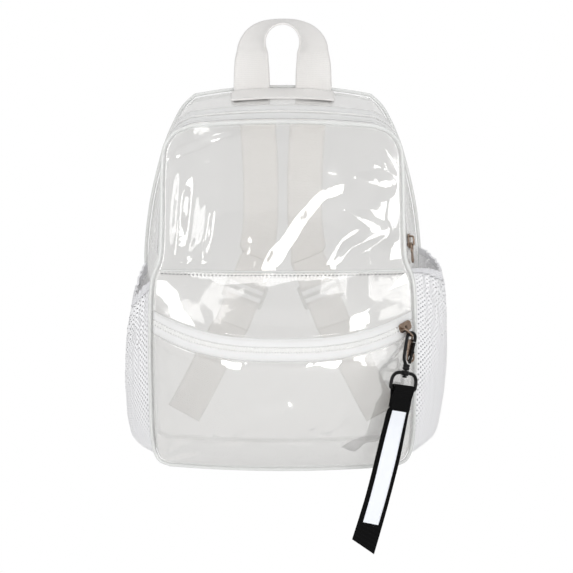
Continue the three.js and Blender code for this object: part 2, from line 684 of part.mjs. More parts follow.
// A puller hangs towards -y from its eye, a slot between the heights high and low whose half-width is side.
// Its origin is the point that it turns about. The round hole near its foot takes a finger's grip or a
// hook.
function pullerGeometry(length, width, { high, low, side }) {
  const half = width / 2;
  const edge = side + PULLER_RIM;
  const top = high + PULLER_RIM;
  const waist = low - PULLER_RIM;
  const foot = top - length + half;
  const shape = new THREE.Shape();
  shape.moveTo(-edge, top);
  shape.lineTo(-edge, waist);
  shape.lineTo(-width * 0.28, waist - width * 0.3);
  shape.quadraticCurveTo(-half, foot + half, -half, foot);
  shape.absarc(0, foot, half, Math.PI, 2 * Math.PI);
  shape.quadraticCurveTo(half, foot + half, width * 0.28, waist - width * 0.3);
  shape.lineTo(edge, waist);
  shape.lineTo(edge, top);
  const slot = roundedRect(THREE.Path, 2 * side, high - low, side * 0.5, 0, (high + low) / 2);
  const hole = new THREE.Path();
  hole.absarc(0, foot, half - PULLER_RIM, 0, 2 * Math.PI, true);
  shape.holes.push(slot, hole);
  return plate(shape, PULLER_T);
}

// A group at a point, whose z axis faces off the bag and whose x axis lies as near to the given one as it
// can
function placed(at, x, z) {
  const y = z.clone().cross(x).normalize();
  const basis = new THREE.Matrix4().makeBasis(y.clone().cross(z).normalize(), y, z.clone().normalize());
  const group = new THREE.Group();
  group.applyMatrix4(basis.setPosition(at));
  bag.add(group);
  return group;
}

// The parameter that lies the given number of millimetres further along a curve
function further(curve, from, mm) {
  const e = 1e-3;
  return from + (mm * 2 * e) / curve(from + e).distanceTo(curve(from - e));
}

// Main zip: its slider stands above the right-hand end, with the puller hanging down the side of the bag

const mainZip = (s) => gussetFromFront(s, -ZIP_FROM_SEAM);
const mainSliderAt = further(mainZip, ZIP_RIGHT, SLIDER_L / 2 + MAIN_SLIDER_UP);
const mainCoilFrom = further(mainZip, mainSliderAt, POST_R + GAP - POST_X);
const coilRows = [-ZIP_FROM_SEAM - COIL_EDGE, -ZIP_FROM_SEAM + COIL_EDGE];
const mainCoil = sheet(gussetFromFront, stations(mainCoilFrom, ZIP_LEFT - END_GAP), coilRows, COIL_T);
piece("main_zip_coil", mainCoil, "zip_coil");

const mainDown = mainZip(mainSliderAt - 1e-3).sub(mainZip(mainSliderAt + 1e-3));
const mainFace = normalAt(gussetFromFront, mainSliderAt, -ZIP_FROM_SEAM);
const mainSlider = placed(mainZip(mainSliderAt), mainDown, mainFace.multiplyScalar(Math.sign(mainFace.x)));
const mainRise = PULLER_T + 2 * GAP + BAIL_R;
piece("main_slider", sliderGeometry(mainRise, BAIL_LEG, 0), "gunmetal", mainSlider);

const mainEye = { high: -PULLER_RIM / 2, low: -PULLER_RIM / 2 - MAIN_EYE_L, side: BAIL_R + 2 * GAP };
const mainPlate = pullerGeometry(MAIN_PULLER_L, MAIN_PULLER_W, mainEye);
const mainPuller = piece("main_puller", mainPlate, "gunmetal", mainSlider);
mainPuller.position.set(BAIL_LEG - BAIL_R - GAP - PULLER_RIM / 2, 0, BAIL_FOOT + GAP + PULLER_T / 2);
mainPuller.rotation.z = Math.PI / 2;

// Pocket zip: its slider is near the right-hand end, and the leg of its bail that stands on the tongue
// carries both the puller and the snap hook

const pocketZip = (u) => pocketAt(u, fromZip(0)(u));
const pocketCoilTo = further(pocketZip, POCKET_SLIDER_AT, POST_X - POST_R - GAP);
const coilColumns = [...pocketColumns.filter((u) => u < pocketCoilTo - 0.01), pocketCoilTo];
const pocketCoil = sheet(pocketAt, coilColumns, [fromZip(-COIL_EDGE), fromZip(COIL_EDGE)], COIL_T);
piece("pocket_zip_coil", pocketCoil, "zip_coil");

const pocketNormal = (u, h) => {
  const normal = normalAt(pocketAt, u, h);
  return normal.multiplyScalar(-Math.sign(normal.y));
};
const pocketAlong = pocketZip(POCKET_SLIDER_AT + 1e-3).sub(pocketZip(POCKET_SLIDER_AT - 1e-3));
const pocketFace = pocketNormal(POCKET_SLIDER_AT, fromZip(0)(POCKET_SLIDER_AT));
const pocketSlider = placed(pocketZip(POCKET_SLIDER_AT), pocketAlong, pocketFace);
const pocketRise = PULLER_T + 2 * HOOK_R + 3 * GAP + BAIL_R;
piece("pocket_slider", sliderGeometry(pocketRise, TONGUE_ASIDE, -TONGUE_DROP), "gunmetal", pocketSlider);

const onLeg = (z) => vec(TONGUE_ASIDE, -TONGUE_DROP, z).applyMatrix4(pocketSlider.matrix);
const acrossFall = (face) => UP.clone().cross(face);
const pocketEye = { high: BAIL_R + GAP, low: -BAIL_R - POCKET_EYE_L, side: BAIL_R + 2 * GAP };
const pullerHangs = placed(onLeg(BAIL_FOOT + GAP + PULLER_T / 2), acrossFall(pocketFace), pocketFace);
piece("pocket_puller", pullerGeometry(POCKET_PULLER_L, POCKET_PULLER_W, pocketEye), "gunmetal", pullerHangs);

// Snap hook: its origin is the leg of the bail inside its bend, y runs up its axis and z faces off the bag

const hookAt = onLeg(BAIL_FOOT + 2 * GAP + PULLER_T + HOOK_R);
const bendY = -(HOOK_BEND_R - HOOK_R - BAIL_R - GAP);
const tipY = bendY - HOOK_TIP;
const neckTop = bendY - HOOK_LEG;
const barrelTop = neckTop - NECK_H - GAP;
const ringY = barrelTop - BARREL_H / 2;
const ringBarY = ringY - RING_DROP;

// The pocket's outer face at a place given by its x and z
function pocketPoint(x, z) {
  const height = Math.min(POCKET_TOP_Z, Math.max(0, z));
  const half = FRONT_SIDE.getPoint(shareAt(FRONT_SIDE, height)).x;
  return { u: Math.min(POCKET_EDGE, Math.max(-POCKET_EDGE, x / half)), h: height / POCKET_TOP_Z };
}

const hookFoot = (() => {
  const drop = -ringBarY;
  const x = hookAt.x - drop * Math.sin(HOOK_LEAN);
  const z = hookAt.z - drop * Math.cos(HOOK_LEAN);
  const { u, h } = pocketPoint(x, z);
  const face = pocketNormal(u, h);
  return { at: vec(x, pocketAt(u, h).y + HOOK_STAND_OFF / face.y, z), face };
})();
const hookUp = hookAt.clone().sub(hookFoot.at).normalize();
const hookFace = hookFoot.face.addScaledVector(hookUp, -hookFoot.face.dot(hookUp)).normalize();
const hookAside = hookUp.clone().cross(hookFace);
const hook = placed(hookAt, hookAside, hookFace);

// A turned solid about y, from a profile that runs up its outside from the axis to the axis
const turned = (profile) => new THREE.LatheGeometry(profile.map(([r, y]) => new THREE.Vector2(r, y)), 10);

function hookGeometry() {
  const bend = spaced(0, Math.PI, 8).map((angle) =>
    vec(HOOK_BEND_R * Math.cos(angle), bendY + HOOK_BEND_R * Math.sin(angle), 0),
  );
  const heel = [
    [1, 0.6],
    [0.88, 0.8],
    [0.5, 0.95],
    [0.1, 1.04],
  ].map(([aside, down]) => vec(-HOOK_BEND_R * aside, lerp(bendY, neckTop, down), 0));
  const body = wire([vec(HOOK_BEND_R, tipY, 0), ...bend, ...heel], UP, HOOK_R);
  const stemEnd = barrelTop - BARREL_H - GAP;
  const neck = turned([
    [0, neckTop - NECK_H],
    [NECK_R * 0.8, neckTop - NECK_H],
    [NECK_R, neckTop - NECK_H * 0.8],
    [NECK_R, neckTop - NECK_H * 0.2],
    [NECK_R * 0.8, neckTop],
    [0, neckTop],
  ]);
  const stem = turned([
    [0, stemEnd - HEAD_H],
    [PIN_R * 1.6, stemEnd - HEAD_H],
    [PIN_R * 2, stemEnd],
    [PIN_R, stemEnd],
    [PIN_R, neckTop - NECK_H * 0.5],
    [0, neckTop - NECK_H * 0.5],
  ]);
  return joined(body, neck, stem);
}

function gateGeometry() {
  const low = neckTop + GATE_GAP;
  const high = tipY - GAP;
  const inner = HOOK_R + GAP;
  const outer = HOOK_BEND_R - GATE_W / 2;
  const shape = new THREE.Shape([
    new THREE.Vector2(inner, low + GATE_W * 0.3),
    new THREE.Vector2(inner + GATE_W * 0.3, low),
    new THREE.Vector2(inner + GATE_W, low),
    new THREE.Vector2(outer + GATE_W, high),
    new THREE.Vector2(outer, high),
  ]);
  return plate(shape, 2 * PIN_R).translate(-gatePivot.x, -gatePivot.y, 0);
}

const gatePivot = vec(HOOK_R + GAP + GATE_W * 0.5, neckTop + GATE_GAP + GATE_W * 0.5, 0);
piece("snap_hook", hookGeometry(), "black_metal", hook);
piece("hook_gate", gateGeometry(), "black_metal", hook).position.copy(gatePivot);

// The ring turns on the hook's stem, which passes through the ring's barrel
function ringGeometry() {
  const bore = PIN_R + GAP;
  const wall = new THREE.Shape();
  wall.absarc(0, 0, NECK_R, 0, 2 * Math.PI);
  const hole = new THREE.Path();
  hole.absarc(0, 0, bore, 0, 2 * Math.PI, true);
  wall.holes.push(hole);
  const barrel = plate(wall, BARREL_H, 6).rotateX(Math.PI / 2).translate(0, ringY, 0);
  const inWall = (bore + NECK_R) / 2;
  const corners = [
    vec(inWall, ringY, 0),
    vec(RING_HALF, ringY, 0),
    vec(RING_HALF, ringBarY, 0),
    vec(-RING_HALF, ringBarY, 0),
    vec(-RING_HALF, ringY, 0),
    vec(-inWall, ringY, 0),
  ];
  return joined(barrel, wire(rounded(corners, RING_R * 1.25), UP, RING_R));
}

piece("swivel_ring", ringGeometry(), "black_metal", hook);

// The frames of webbing along a line of centres, each with the direction of the tape's width
function ribbonFrames(spine) {
  return spine.map(({ at, across }, i) => {
    const before = spine[Math.max(0, i - 1)].at;
    const after = spine[Math.min(spine.length - 1, i + 1)].at;
    const along = after.clone().sub(before).normalize();
    return ribbonFrame(at, along, across.clone().cross(along));
  });
}

// A tape's turn round a bar at a point: it comes along the run at the near side of the bar, goes round and
// comes back for the length of the tail. The two layers lie a clearance apart once they are past the bar.
function turnRound(at, run, near, across, barHalf, thickness, tail) {
  const radius = barHalf + GAP + thickness / 2;
  const apart = (thickness + GAP) / 2;
  const layer = (back, off) => ({ back, off });
  const layers = [
    ...[tail, tail * 0.7, radius * 3].map((back) => layer(back, apart)),
    ...spaced(Math.PI / 2, -Math.PI / 2, 8).map((a) => layer(-radius * Math.cos(a), radius * Math.sin(a))),
    ...[radius * 3, tail * 0.7, tail].map((back) => layer(back, -apart)),
  ];
  return layers.map(({ back, off }) => ({
    at: at.clone().addScaledVector(run, -back).addScaledVector(near, off),
    across,
  }));
}

// The strap hangs from the ring's straight bar, bends over the pocket where it meets it, and drifts aside
// as it falls
const ringBar = vec(0, ringBarY, 0).applyMatrix4(hook.matrix);
const lanyardAt = (down) => {
  const point = ringBar.clone().addScaledVector(hookUp, -down * LANYARD_L);
  const fall = LANYARD_ROWS.find((row) => row.down >= down - 1e-9) ?? LANYARD_ROWS[LANYARD_ROWS.length - 1];
  return point.add(vec(-fall.aside * LANYARD_L, 0, 0));
};
const lanyardSpine = [];
let foremost = Infinity;
for (const { down } of LANYARD_ROWS) {
  const at = lanyardAt(down);
  const { u, h } = pocketPoint(at.x, at.z);
  foremost = Math.min(foremost, at.y, pocketAt(u, h).y - LANYARD_CLEAR);
  at.y = foremost;
  lanyardSpine.push({ at, across: hookAside });
}
const turn = turnRound(ringBar, hookUp, hookFace, hookAside, RING_R, LANYARD_T, LANYARD_TAIL);
const hangs = lanyardSpine.filter((_, i) => LANYARD_ROWS[i].down * LANYARD_L > LANYARD_TAIL * 1.1);
const lanyardFrames = ribbonFrames([...hangs.reverse(), ...turn]);
lanyardFrames[0].across.addScaledVector(hookUp, -LANYARD_SLANT);
piece("lanyard_webbing", tape(lanyardFrames, LANYARD_W, LANYARD_T), "black_webbing");

// A paler ribbon is sewn down the middle of its front
const ribbonOff = (LANYARD_T + RIBBON_T) / 2 + GAP;
const ribbonRows = lanyardFrames.slice(1, hangs.length).map(({ at, across, face }) => {
  const front = face.clone().multiplyScalar(-Math.sign(face.y));
  return { at: at.clone().addScaledVector(front, ribbonOff), across };
});
piece("lanyard_ribbon", tape(ribbonFrames(ribbonRows), RIBBON_W, RIBBON_T), "white_ribbon");

// Shoulder straps: webbing from the top of the back panel to an adjuster, and from there to the base corner

function strapPoint(sign, row) {
  const z = row.up * BACK_HEIGHT;
  const t = shareAt(BACK_SIDE, z);
  const side = BACK_SIDE.getPoint(t).x;
  const panel = backPanelAt(t, row.side * BACK_HALF / side);
  return vec(sign * row.side * BACK_HALF, panel.y + PVC + 2 * GAP + WEBBING / 2 + row.bow * STRAP_BOW, z);
}

const slotHalf = STRAP_W / 2 + GAP;
function adjusterGeometry() {
  const [wide, tall] = [2 * (slotHalf + ADJUSTER_BAR), 2 * ADJUSTER_PITCH + ADJUSTER_BAR];
  const frame = roundedRect(THREE.Shape, wide, tall, ADJUSTER_BAR * 0.7);
  for (const y of [ADJUSTER_PITCH / 2, -ADJUSTER_PITCH / 2]) {
    const open = ADJUSTER_PITCH - ADJUSTER_BAR;
    frame.holes.push(roundedRect(THREE.Path, 2 * slotHalf, open, ADJUSTER_BAR * 0.3, 0, y));
  }
  return plate(frame, ADJUSTER_T, 3);
}

for (const { side, sign } of [
  { side: "left", sign: -1 },
  { side: "right", sign: 1 },
]) {
  const line = smooth(STRAP_ROWS.map((row) => strapPoint(sign, row)));
  const length = line.getLength();
  const centre = line.getPointAt(ADJUSTER_AT);
  const run = line.getTangentAt(ADJUSTER_AT);
  const across = run.clone().cross(vec(0, 1, 0)).normalize();
  const face = across.clone().cross(run).normalize();
  const adjuster = placed(centre, across, face);
  piece(`strap_adjuster_${side}`, adjusterGeometry(), "adjuster", adjuster);
  const barHalf = Math.hypot(ADJUSTER_BAR, ADJUSTER_T) / 2;
  const along = (share) => {
    const tangent = line.getTangentAt(share);
    return { at: line.getPointAt(share), across: tangent.cross(vec(0, 1, 0)).normalize() };
  };
  const tailShare = (ADJUSTER_PITCH + STRAP_TAIL) / length;
  const upper = spaced(0, ADJUSTER_AT - tailShare * 1.25, 14).map(along);
  const lower = spaced(1, ADJUSTER_AT + tailShare * 1.25, 10).map(along);
  const turnAt = (way) => centre.clone().addScaledVector(run, way * ADJUSTER_PITCH);
  const upperTurn = turnRound(turnAt(-1), run, face, across, barHalf, WEBBING, STRAP_TAIL);
  const lowerTurn = turnRound(turnAt(1), run.clone().negate(), face, across, barHalf, WEBBING, STRAP_TAIL);
  const upperFrames = ribbonFrames([...upper, ...upperTurn]);
  const lowerFrames = ribbonFrames([...lower, ...lowerTurn]);
  piece(`shoulder_strap_${side}`, tape(upperFrames, STRAP_W, WEBBING), "white_webbing");
  piece(`strap_webbing_${side}`, tape(lowerFrames, STRAP_W, WEBBING), "white_webbing");
}

// The bag hangs from the underside of the handle's crown, which becomes the origin
bag.position.set(0, HANDLE_FROM_SEAM, -(archZ + HANDLE_LEG_X - WEBBING / 2));

export default bag;
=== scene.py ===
# A clear vinyl day backpack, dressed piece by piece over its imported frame. Metres, +Z up, the front
# faces -Y and the origin is the underside of the handle's crown.
import math
from bisect import bisect
from functools import lru_cache

import bmesh
import bpy
from mathutils import Matrix, Vector, noise


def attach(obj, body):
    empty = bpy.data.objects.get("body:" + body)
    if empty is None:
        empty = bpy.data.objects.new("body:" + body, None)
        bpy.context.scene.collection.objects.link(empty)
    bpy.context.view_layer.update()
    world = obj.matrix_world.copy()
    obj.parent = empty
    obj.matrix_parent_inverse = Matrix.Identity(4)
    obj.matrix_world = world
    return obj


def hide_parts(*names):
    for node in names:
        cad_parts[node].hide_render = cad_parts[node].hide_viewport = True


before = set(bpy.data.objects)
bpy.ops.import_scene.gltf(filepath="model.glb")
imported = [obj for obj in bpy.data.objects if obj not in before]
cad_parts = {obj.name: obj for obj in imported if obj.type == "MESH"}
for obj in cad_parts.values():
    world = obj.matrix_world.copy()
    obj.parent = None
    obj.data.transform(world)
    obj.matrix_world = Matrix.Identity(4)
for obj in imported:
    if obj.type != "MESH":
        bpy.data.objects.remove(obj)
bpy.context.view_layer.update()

# Camera, floor and light. The bag hangs over a pale studio floor, between two tall softboxes and under a wide
# one. Two smaller ones stand before it. The vinyl mirrors all of them in its dents.
CAMERA_AIM, CAMERA_LENS = Vector((0.0032, 0, -0.2233)), 166.0
CAMERA_FAR, CAMERA_UP = 2.231, math.radians(12.5)
BAG_MIDDLE, FLOOR_Z, FLOOR_HALF = (0, -0.04, -0.2), -0.5, 30
scene = bpy.context.scene
scene.view_settings.view_transform = "Standard"
scene.cycles.transparent_max_bounces = 64
scene.cycles.max_bounces = 10

camera = bpy.data.objects.new("camera", bpy.data.cameras.new("camera"))
scene.collection.objects.link(camera)
scene.camera = camera
camera_back = Vector((0, -math.cos(CAMERA_UP), math.sin(CAMERA_UP)))
camera.data.lens = CAMERA_LENS
camera.location = CAMERA_AIM + CAMERA_FAR * camera_back
camera.rotation_mode = "QUATERNION"
camera.rotation_quaternion = (-camera_back).to_track_quat("-Z", "Y")


class Value:
    """A node's output. Arithmetic on it adds Math nodes to its material."""

    def __init__(self, finish, socket):
        self.finish, self.socket = finish, socket

    def math(self, operation, first, second):
        return self.finish.node("ShaderNodeMath", {"operation": operation}, {0: first, 1: second})

    def __add__(self, other):
        return self.math("ADD", self, other)

    __radd__ = __add__

    def __rsub__(self, other):
        return self.math("SUBTRACT", other, self)

    def __mul__(self, other):
        return self.math("MULTIPLY", self, other)

    __rmul__ = __mul__

    def __gt__(self, other):
        return self.math("GREATER_THAN", self, other)


def spaced(sockets):
    """Sockets given as keywords, by their own names."""
    return {key.replace("_", " "): value for key, value in sockets.items()}


class Finish:
    """A material whose nodes come from one method. It starts with a Principled shader."""

    def __init__(self, name, base, **sockets):
        self.material = bpy.data.materials.new(name)
        self.material.use_nodes = True
        self.tree = self.material.node_tree
        self.tree.nodes.clear()
        self.output = self.tree.nodes.new("ShaderNodeOutputMaterial")
        self.shader = self.tree.nodes.new("ShaderNodeBsdfPrincipled")
        self.tree.links.new(self.shader.outputs[0], self.output.inputs[0])
        self.put(self.shader, {"Base Color": (*base, 1), **spaced(sockets)})
        place = self.tree.nodes.new("ShaderNodeTexCoord")
        self.object, self.uv = Value(self, place.outputs["Object"]), Value(self, place.outputs["UV"])

    def put(self, node, sockets):
        for key, value in sockets.items():
            if isinstance(value, Value):
                self.tree.links.new(value.socket, node.inputs[key])
            else:
                node.inputs[key].default_value = value

    def node(self, kind, settings=(), sockets=(), out=0):
        made = self.tree.nodes.new(kind)
        for key, value in dict(settings).items():
            setattr(made, key, value)
        self.put(made, dict(sockets))
        return Value(self, made.outputs[out])

    def noise(self, scale, detail=2.0, where=None):
        sockets = {"Vector": where or self.object, "Scale": scale, "Detail": detail}
        return self.node("ShaderNodeTexNoise", {}, sockets)

    def ribs(self, direction, scale):
        """Threads of a weave, in bands along one direction of the piece's UV map."""
        sockets = {"Vector": self.uv, "Scale": scale}
        return self.node("ShaderNodeTexWave", {"bands_direction": direction}, sockets)

    def mixed(self, share, first, second):
        sockets = {0: share, 6: first, 7: second}
        sockets = {k: (*v, 1) if isinstance(v, tuple) else v for k, v in sockets.items()}
        return self.node("ShaderNodeMix", {"data_type": "RGBA"}, sockets, out=2)

    def bump(self, height, strength, distance):
        sockets = {"Height": height, "Strength": strength, "Distance": distance}
        return self.node("ShaderNodeBump", {}, sockets)

    def dress(self, height, strength, distance, **sockets):
        """Gives the shader a bump and whatever else varies over the piece."""
        self.put(self.shader, {"Normal": self.bump(height, strength, distance), **spaced(sockets)})

    def see_through(self, share, tint):
        """Lets a share of the shader show over clear sheet of the given tint."""
        clear = self.tree.nodes.new("ShaderNodeBsdfTransparent")
        clear.inputs["Color"].default_value = (*tint, 1)
        mix = self.tree.nodes.new("ShaderNodeMixShader")
        self.put(mix, {0: share})
        self.tree.links.new(clear.outputs[0], mix.inputs[1])
        self.tree.links.new(self.shader.outputs[0], mix.inputs[2])
        self.tree.links.new(mix.outputs[0], self.output.inputs[0])


def softbox(name, place, size, power):
    light = bpy.data.lights.new(name, "AREA")
    light.shape, light.size, light.size_y, light.energy = "RECTANGLE", size[0], size[1], power
    lamp = bpy.data.objects.new(name, light)
    scene.collection.objects.link(lamp)
    lamp.location = place
    lamp.rotation_euler = (Vector(BAG_MIDDLE) - Vector(place)).to_track_quat("-Z", "Y").to_euler()


softbox("softbox_right", (1.05, -1.8, 0.1), (0.4, 1.0), 6)
softbox("softbox_left", (-1.5, -1.45, 0.2), (0.6, 1.1), 6.5)
softbox("softbox_top", (0.1, -0.5, 1.5), (1.4, 1.0), 7.5)
softbox("softbox_front", (0.45, -2.2, -0.3), (0.42, 0.6), 5.5)
softbox("softbox_low", (-0.5, -2.0, -0.42), (0.4, 0.35), 2.8)

world = bpy.data.worlds.new("studio")
scene.world = world
world.use_nodes = True
world_nodes = world.node_tree.nodes
seen = world_nodes.new("ShaderNodeLightPath")
shade = world_nodes["Background"]
for ray, grey in ((None, 0.58), ("Is Glossy Ray", 0.95), ("Is Camera Ray", 1.0)):
    if ray:
        blend = world_nodes.new("ShaderNodeMixShader")
        lit = world_nodes.new("ShaderNodeBackground")
        world.node_tree.links.new(seen.outputs[ray], blend.inputs[0])
        world.node_tree.links.new(shade.outputs[0], blend.inputs[1])
        world.node_tree.links.new(lit.outputs[0], blend.inputs[2])
        shade = blend
    else:
        lit = shade
    lit.inputs["Color"].default_value = (grey, grey, grey, 1)
world.node_tree.links.new(shade.outputs[0], world_nodes["World Output"].inputs[0])

floor_mesh = bmesh.new()
bmesh.ops.create_grid(floor_mesh, x_segments=1, y_segments=1, size=FLOOR_HALF)
bmesh.ops.translate(floor_mesh, verts=floor_mesh.verts, vec=(0, 0, FLOOR_Z))
floor_data = bpy.data.meshes.new("floor")
floor_mesh.to_mesh(floor_data)
floor = bpy.data.objects.new("floor", floor_data)
scene.collection.objects.link(floor)
floor_glow = {"Emission_Color": (1, 1, 1, 1), "Emission_Strength": 0.16}
floor_paint = Finish("floor_paint", (0.8, 0.8, 0.795), Roughness=0.9, **floor_glow)
path = floor_paint.tree.nodes.new("ShaderNodeLightPath")
not_through = 1 - Value(floor_paint, path.outputs["Transparent Depth"]) > 0.5
bare = Value(floor_paint, path.outputs["Is Camera Ray"]) * not_through
glow = floor_paint.tree.nodes.new("ShaderNodeEmission")
floor_mix = floor_paint.tree.nodes.new("ShaderNodeMixShader")
floor_paint.put(floor_mix, {0: bare})
floor_paint.tree.links.new(floor_paint.shader.outputs[0], floor_mix.inputs[1])
floor_paint.tree.links.new(glow.outputs[0], floor_mix.inputs[2])
floor_paint.tree.links.new(floor_mix.outputs[0], floor_paint.output.inputs[0])
floor_data.materials.append(floor_paint.material)

# Clear vinyl. Soft film about half a millimetre thick that lies flat when new and keeps the dents of its
# packing: each face of it mirrors a little, and through two layers things look slightly grey.
FILM, FILM_IOR, MOST_MIRRORED = 0.6, 1.5, 0.38
vinyl = Finish("clear_vinyl", (0.93, 0.93, 0.93), Roughness=0.045, Metallic=0.55, IOR=FILM_IOR)
ripples = vinyl.noise(14, 1.5) + vinyl.noise(70) * 0.05
vinyl_dents = vinyl.bump(ripples, 0.5, 0.007)
vinyl.put(vinyl.shader, {"Normal": vinyl_dents})
mirrored = vinyl.node("ShaderNodeFresnel", {}, {"IOR": FILM_IOR, "Normal": vinyl_dents})
haze = 0.07 * vinyl.noise(11)
seam_share = vinyl.node("ShaderNodeAttribute", {"attribute_name": "seam"}, {}, out=2)
vinyl_share = vinyl.node("ShaderNodeMath", {"operation": "MINIMUM"}, {0: mirrored * 1.15, 1: MOST_MIRRORED})
vinyl.see_through(vinyl_share + haze + seam_share * 0.1, (0.985, 0.983, 0.98))


def placed(name, data, finish, body="bag", slot=None, replaces=()):
    """The piece with this mesh or curve, with its finish, on its body."""
    data.materials.append(finish.material)
    piece = bpy.data.objects.new(name, data)
    scene.collection.objects.link(piece)
    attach(piece, body)
    if replaces:
        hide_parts(*replaces)
    return piece


def finished(name, mesh, finish, shade_smooth=True, **riding):
    """The piece made from a bmesh."""
    data = bpy.data.meshes.new(name)
    mesh.to_mesh(data)
    mesh.free()
    for face in data.polygons:
        face.use_smooth = shade_smooth
    return placed(name, data, finish, **riding)


def modified(piece, kind, **settings):
    modifier = piece.modifiers.new(kind.lower(), kind)
    for key, value in settings.items():
        setattr(modifier, key, value)
    return piece


# The bag's own measures, in millimetres from the base of the back seam: where its side edges lie on the
# back seam and on the front seam on the way up, and how deep the bag is there.
BACK_HEIGHT, BACK_HALF, FRONT_HEIGHT, FRONT_HALF, BASE_DEPTH = 297, 113, 278, 106, 84
CROWN_Z = 353.01473  # of the handle's underside
HANDLE_Y, LEG_X = 2, 25
WEBBING_WIDE, WEBBING_THICK = 30, 1.5
BODY_ROWS = [  # up and half-width of the back seam, up and half-width of the front seam, and depth
    (0.0, 0.87, 0.0, 0.87, 1.0),
    (0.012, 0.93, 0.012, 0.94, 1.0),
    (0.046, 0.96, 0.05, 0.98, 1.0),
    (0.2, 0.97, 0.22, 1.0, 1.0),
    (0.37, 0.98, 0.4, 1.0, 0.98),
    (0.52, 1.0, 0.55, 0.98, 0.95),
    (0.6, 0.985, 0.607, 0.925, 0.92),
    (0.69, 0.95, 0.69, 0.91, 0.885),
    (0.78, 0.895, 0.79, 0.905, 0.85),
    (0.85, 0.84, 0.87, 0.9, 0.82),
    (0.907, 0.775, 0.935, 0.88, 0.8),
    (0.947, 0.715, 0.971, 0.81, 0.78),
    (0.976, 0.64, 0.988, 0.7, 0.765),
]


def in_frame(point):
    return Vector((point.x, point.y + HANDLE_Y, point.z - CROWN_Z)) / 1000


def curve_through(points):
    """The smooth curve through points, as a function from 0 to 1 that runs evenly from point to point."""
    spans = len(points) - 1

    @lru_cache(maxsize=4096)
    def at(share):
        place = min(max(share, 0.0), 1.0) * spans
        i = min(int(place), spans - 1)
        w = place - i
        p1, p2 = points[i], points[i + 1]
        p0 = points[i - 1] if i > 0 else 2 * p1 - p2
        p3 = points[i + 2] if i + 2 <= spans else 2 * p2 - p1
        d0, d1, d2 = (math.sqrt((b - a).length) for a, b in ((p0, p1), (p1, p2), (p2, p3)))
        d1 = d1 if d1 > 1e-4 else 1.0
        d0 = d0 if d0 > 1e-4 else d1
        d2 = d2 if d2 > 1e-4 else d1
        t1 = ((p1 - p0) / d0 - (p2 - p0) / (d0 + d1) + (p2 - p1) / d1) * d1
        t2 = ((p2 - p1) / d1 - (p3 - p1) / (d1 + d2) + (p3 - p2) / d2) * d1
        c2 = 3 * (p2 - p1) - 2 * t1 - t2
        c3 = 2 * (p1 - p2) + t1 + t2
        return p1 + t1 * w + c2 * w**2 + c3 * w**3

    return at


def side_through(rows, half, height):
    return curve_through([Vector((wide * half, -deep * BASE_DEPTH, up * height)) for up, wide, deep in rows])


back_side = side_through([(r[0], r[1], r[4]) for r in BODY_ROWS], BACK_HALF, BACK_HEIGHT)
front_side = side_through([(r[2], r[3], r[4]) for r in BODY_ROWS], FRONT_HALF, FRONT_HEIGHT)


def rise(t, crown):
    """How far a row's middle lies above its ends: the crowned top edge and the sagging base."""
    return crown * max(0.0, (t - 0.6) / 0.4) ** 2 - 4 * max(0.0, 1 - t / 0.25) ** 2


def back_edge(u, t):
    side = back_side(t)
    return Vector((u * side.x, 0, side.z + rise(t, BACK_HEIGHT * 0.024) * (1 - u * u)))


def front_edge(u, t):
    side = front_side(t)
    return Vector((u * side.x, side.y, side.z + rise(t, FRONT_HEIGHT * 0.012) * (1 - u * u)))


def belly(side, u, t):
    up = side(t).z / side(1.0).z
    return (1 - u * u) * 4 * up * (1 - up)


# Front and back panels. Each is one sheet of the clear vinyl, cut to the bag's outline and sewn into the
# piping round its edge. The front one has upright folds on its left, and flat facets between its creases.
def back_panel_at(u, t):
    return back_edge(u, t) + Vector((0, 3 * belly(back_side, u, t), 0))


def front_panel_at(u, t):
    return front_edge(u, t) + Vector((0, -7 * belly(front_side, u, t), 0))


def edge_fade(u, t, width=0.12):
    """0 on the seams, rising to 1 inside them."""
    return min(1.0, (1 - abs(u)) / width) * min(1.0, t / width) * min(1.0, (1 - t) / width)


def ridge(x, z, start, end, width, height):
    """A fold that runs between two points of the panel and dies out at its ends."""
    a, b = Vector(start), Vector(end)
    along = b - a
    share = (Vector((x, z)) - a).dot(along) / along.length_squared
    near = a + along * min(1.0, max(0.0, share))
    off = (Vector((x, z)) - near).length
    fade = math.sin(math.pi * min(0.97, max(0.03, share))) ** 0.5
    return height * fade * math.exp(-((off / width) ** 2))


def sheet_over(name, surface, columns, rows, finish, thickness, dent=None, flip=False, cloud=0.0, **riding):
    """A sheet over a surface of two shares from 0 to 1, dented along its normal in millimetres."""
    mesh = bmesh.new()
    bmesh.ops.create_grid(mesh, x_segments=columns, y_segments=rows, size=0.5)
    uv = mesh.loops.layers.uv.new("UVMap")
    seam = mesh.verts.layers.float.new("seam")
    width = sum((surface((i + 1) / 8, 0.5) - surface(i / 8, 0.5)).length for i in range(8)) / 1000
    height = sum((surface(0.5, (i + 1) / 40) - surface(0.5, i / 40)).length for i in range(40)) / 1000
    e = 1e-3
    for vert in mesh.verts:
        a, b = vert.co.x + 0.5, vert.co.y + 0.5
        for loop in vert.link_loops:
            loop[uv].uv = (a * width, b * height)
        at = surface(a, b)
        if dent:
            a0, a1, b0, b1 = max(0, a - e), min(1, a + e), max(0, b - e), min(1, b + e)
            normal = (surface(a1, b) - surface(a0, b)).cross(surface(a, b1) - surface(a, b0)).normalized()
            at = at + normal * dent(a, b, at)
        vert.co = in_frame(at)
        vert[seam] = max(cloud, 1 - min(a * width, (1 - a) * width, b * height, (1 - b) * height) / 0.006)
    if flip:
        bmesh.ops.reverse_faces(mesh, faces=mesh.faces)
    riding = {"replaces": [name], **riding}
    piece = finished(name, mesh, finish, **riding)
    return modified(piece, "SOLIDIFY", thickness=thickness / 1000, offset=0)


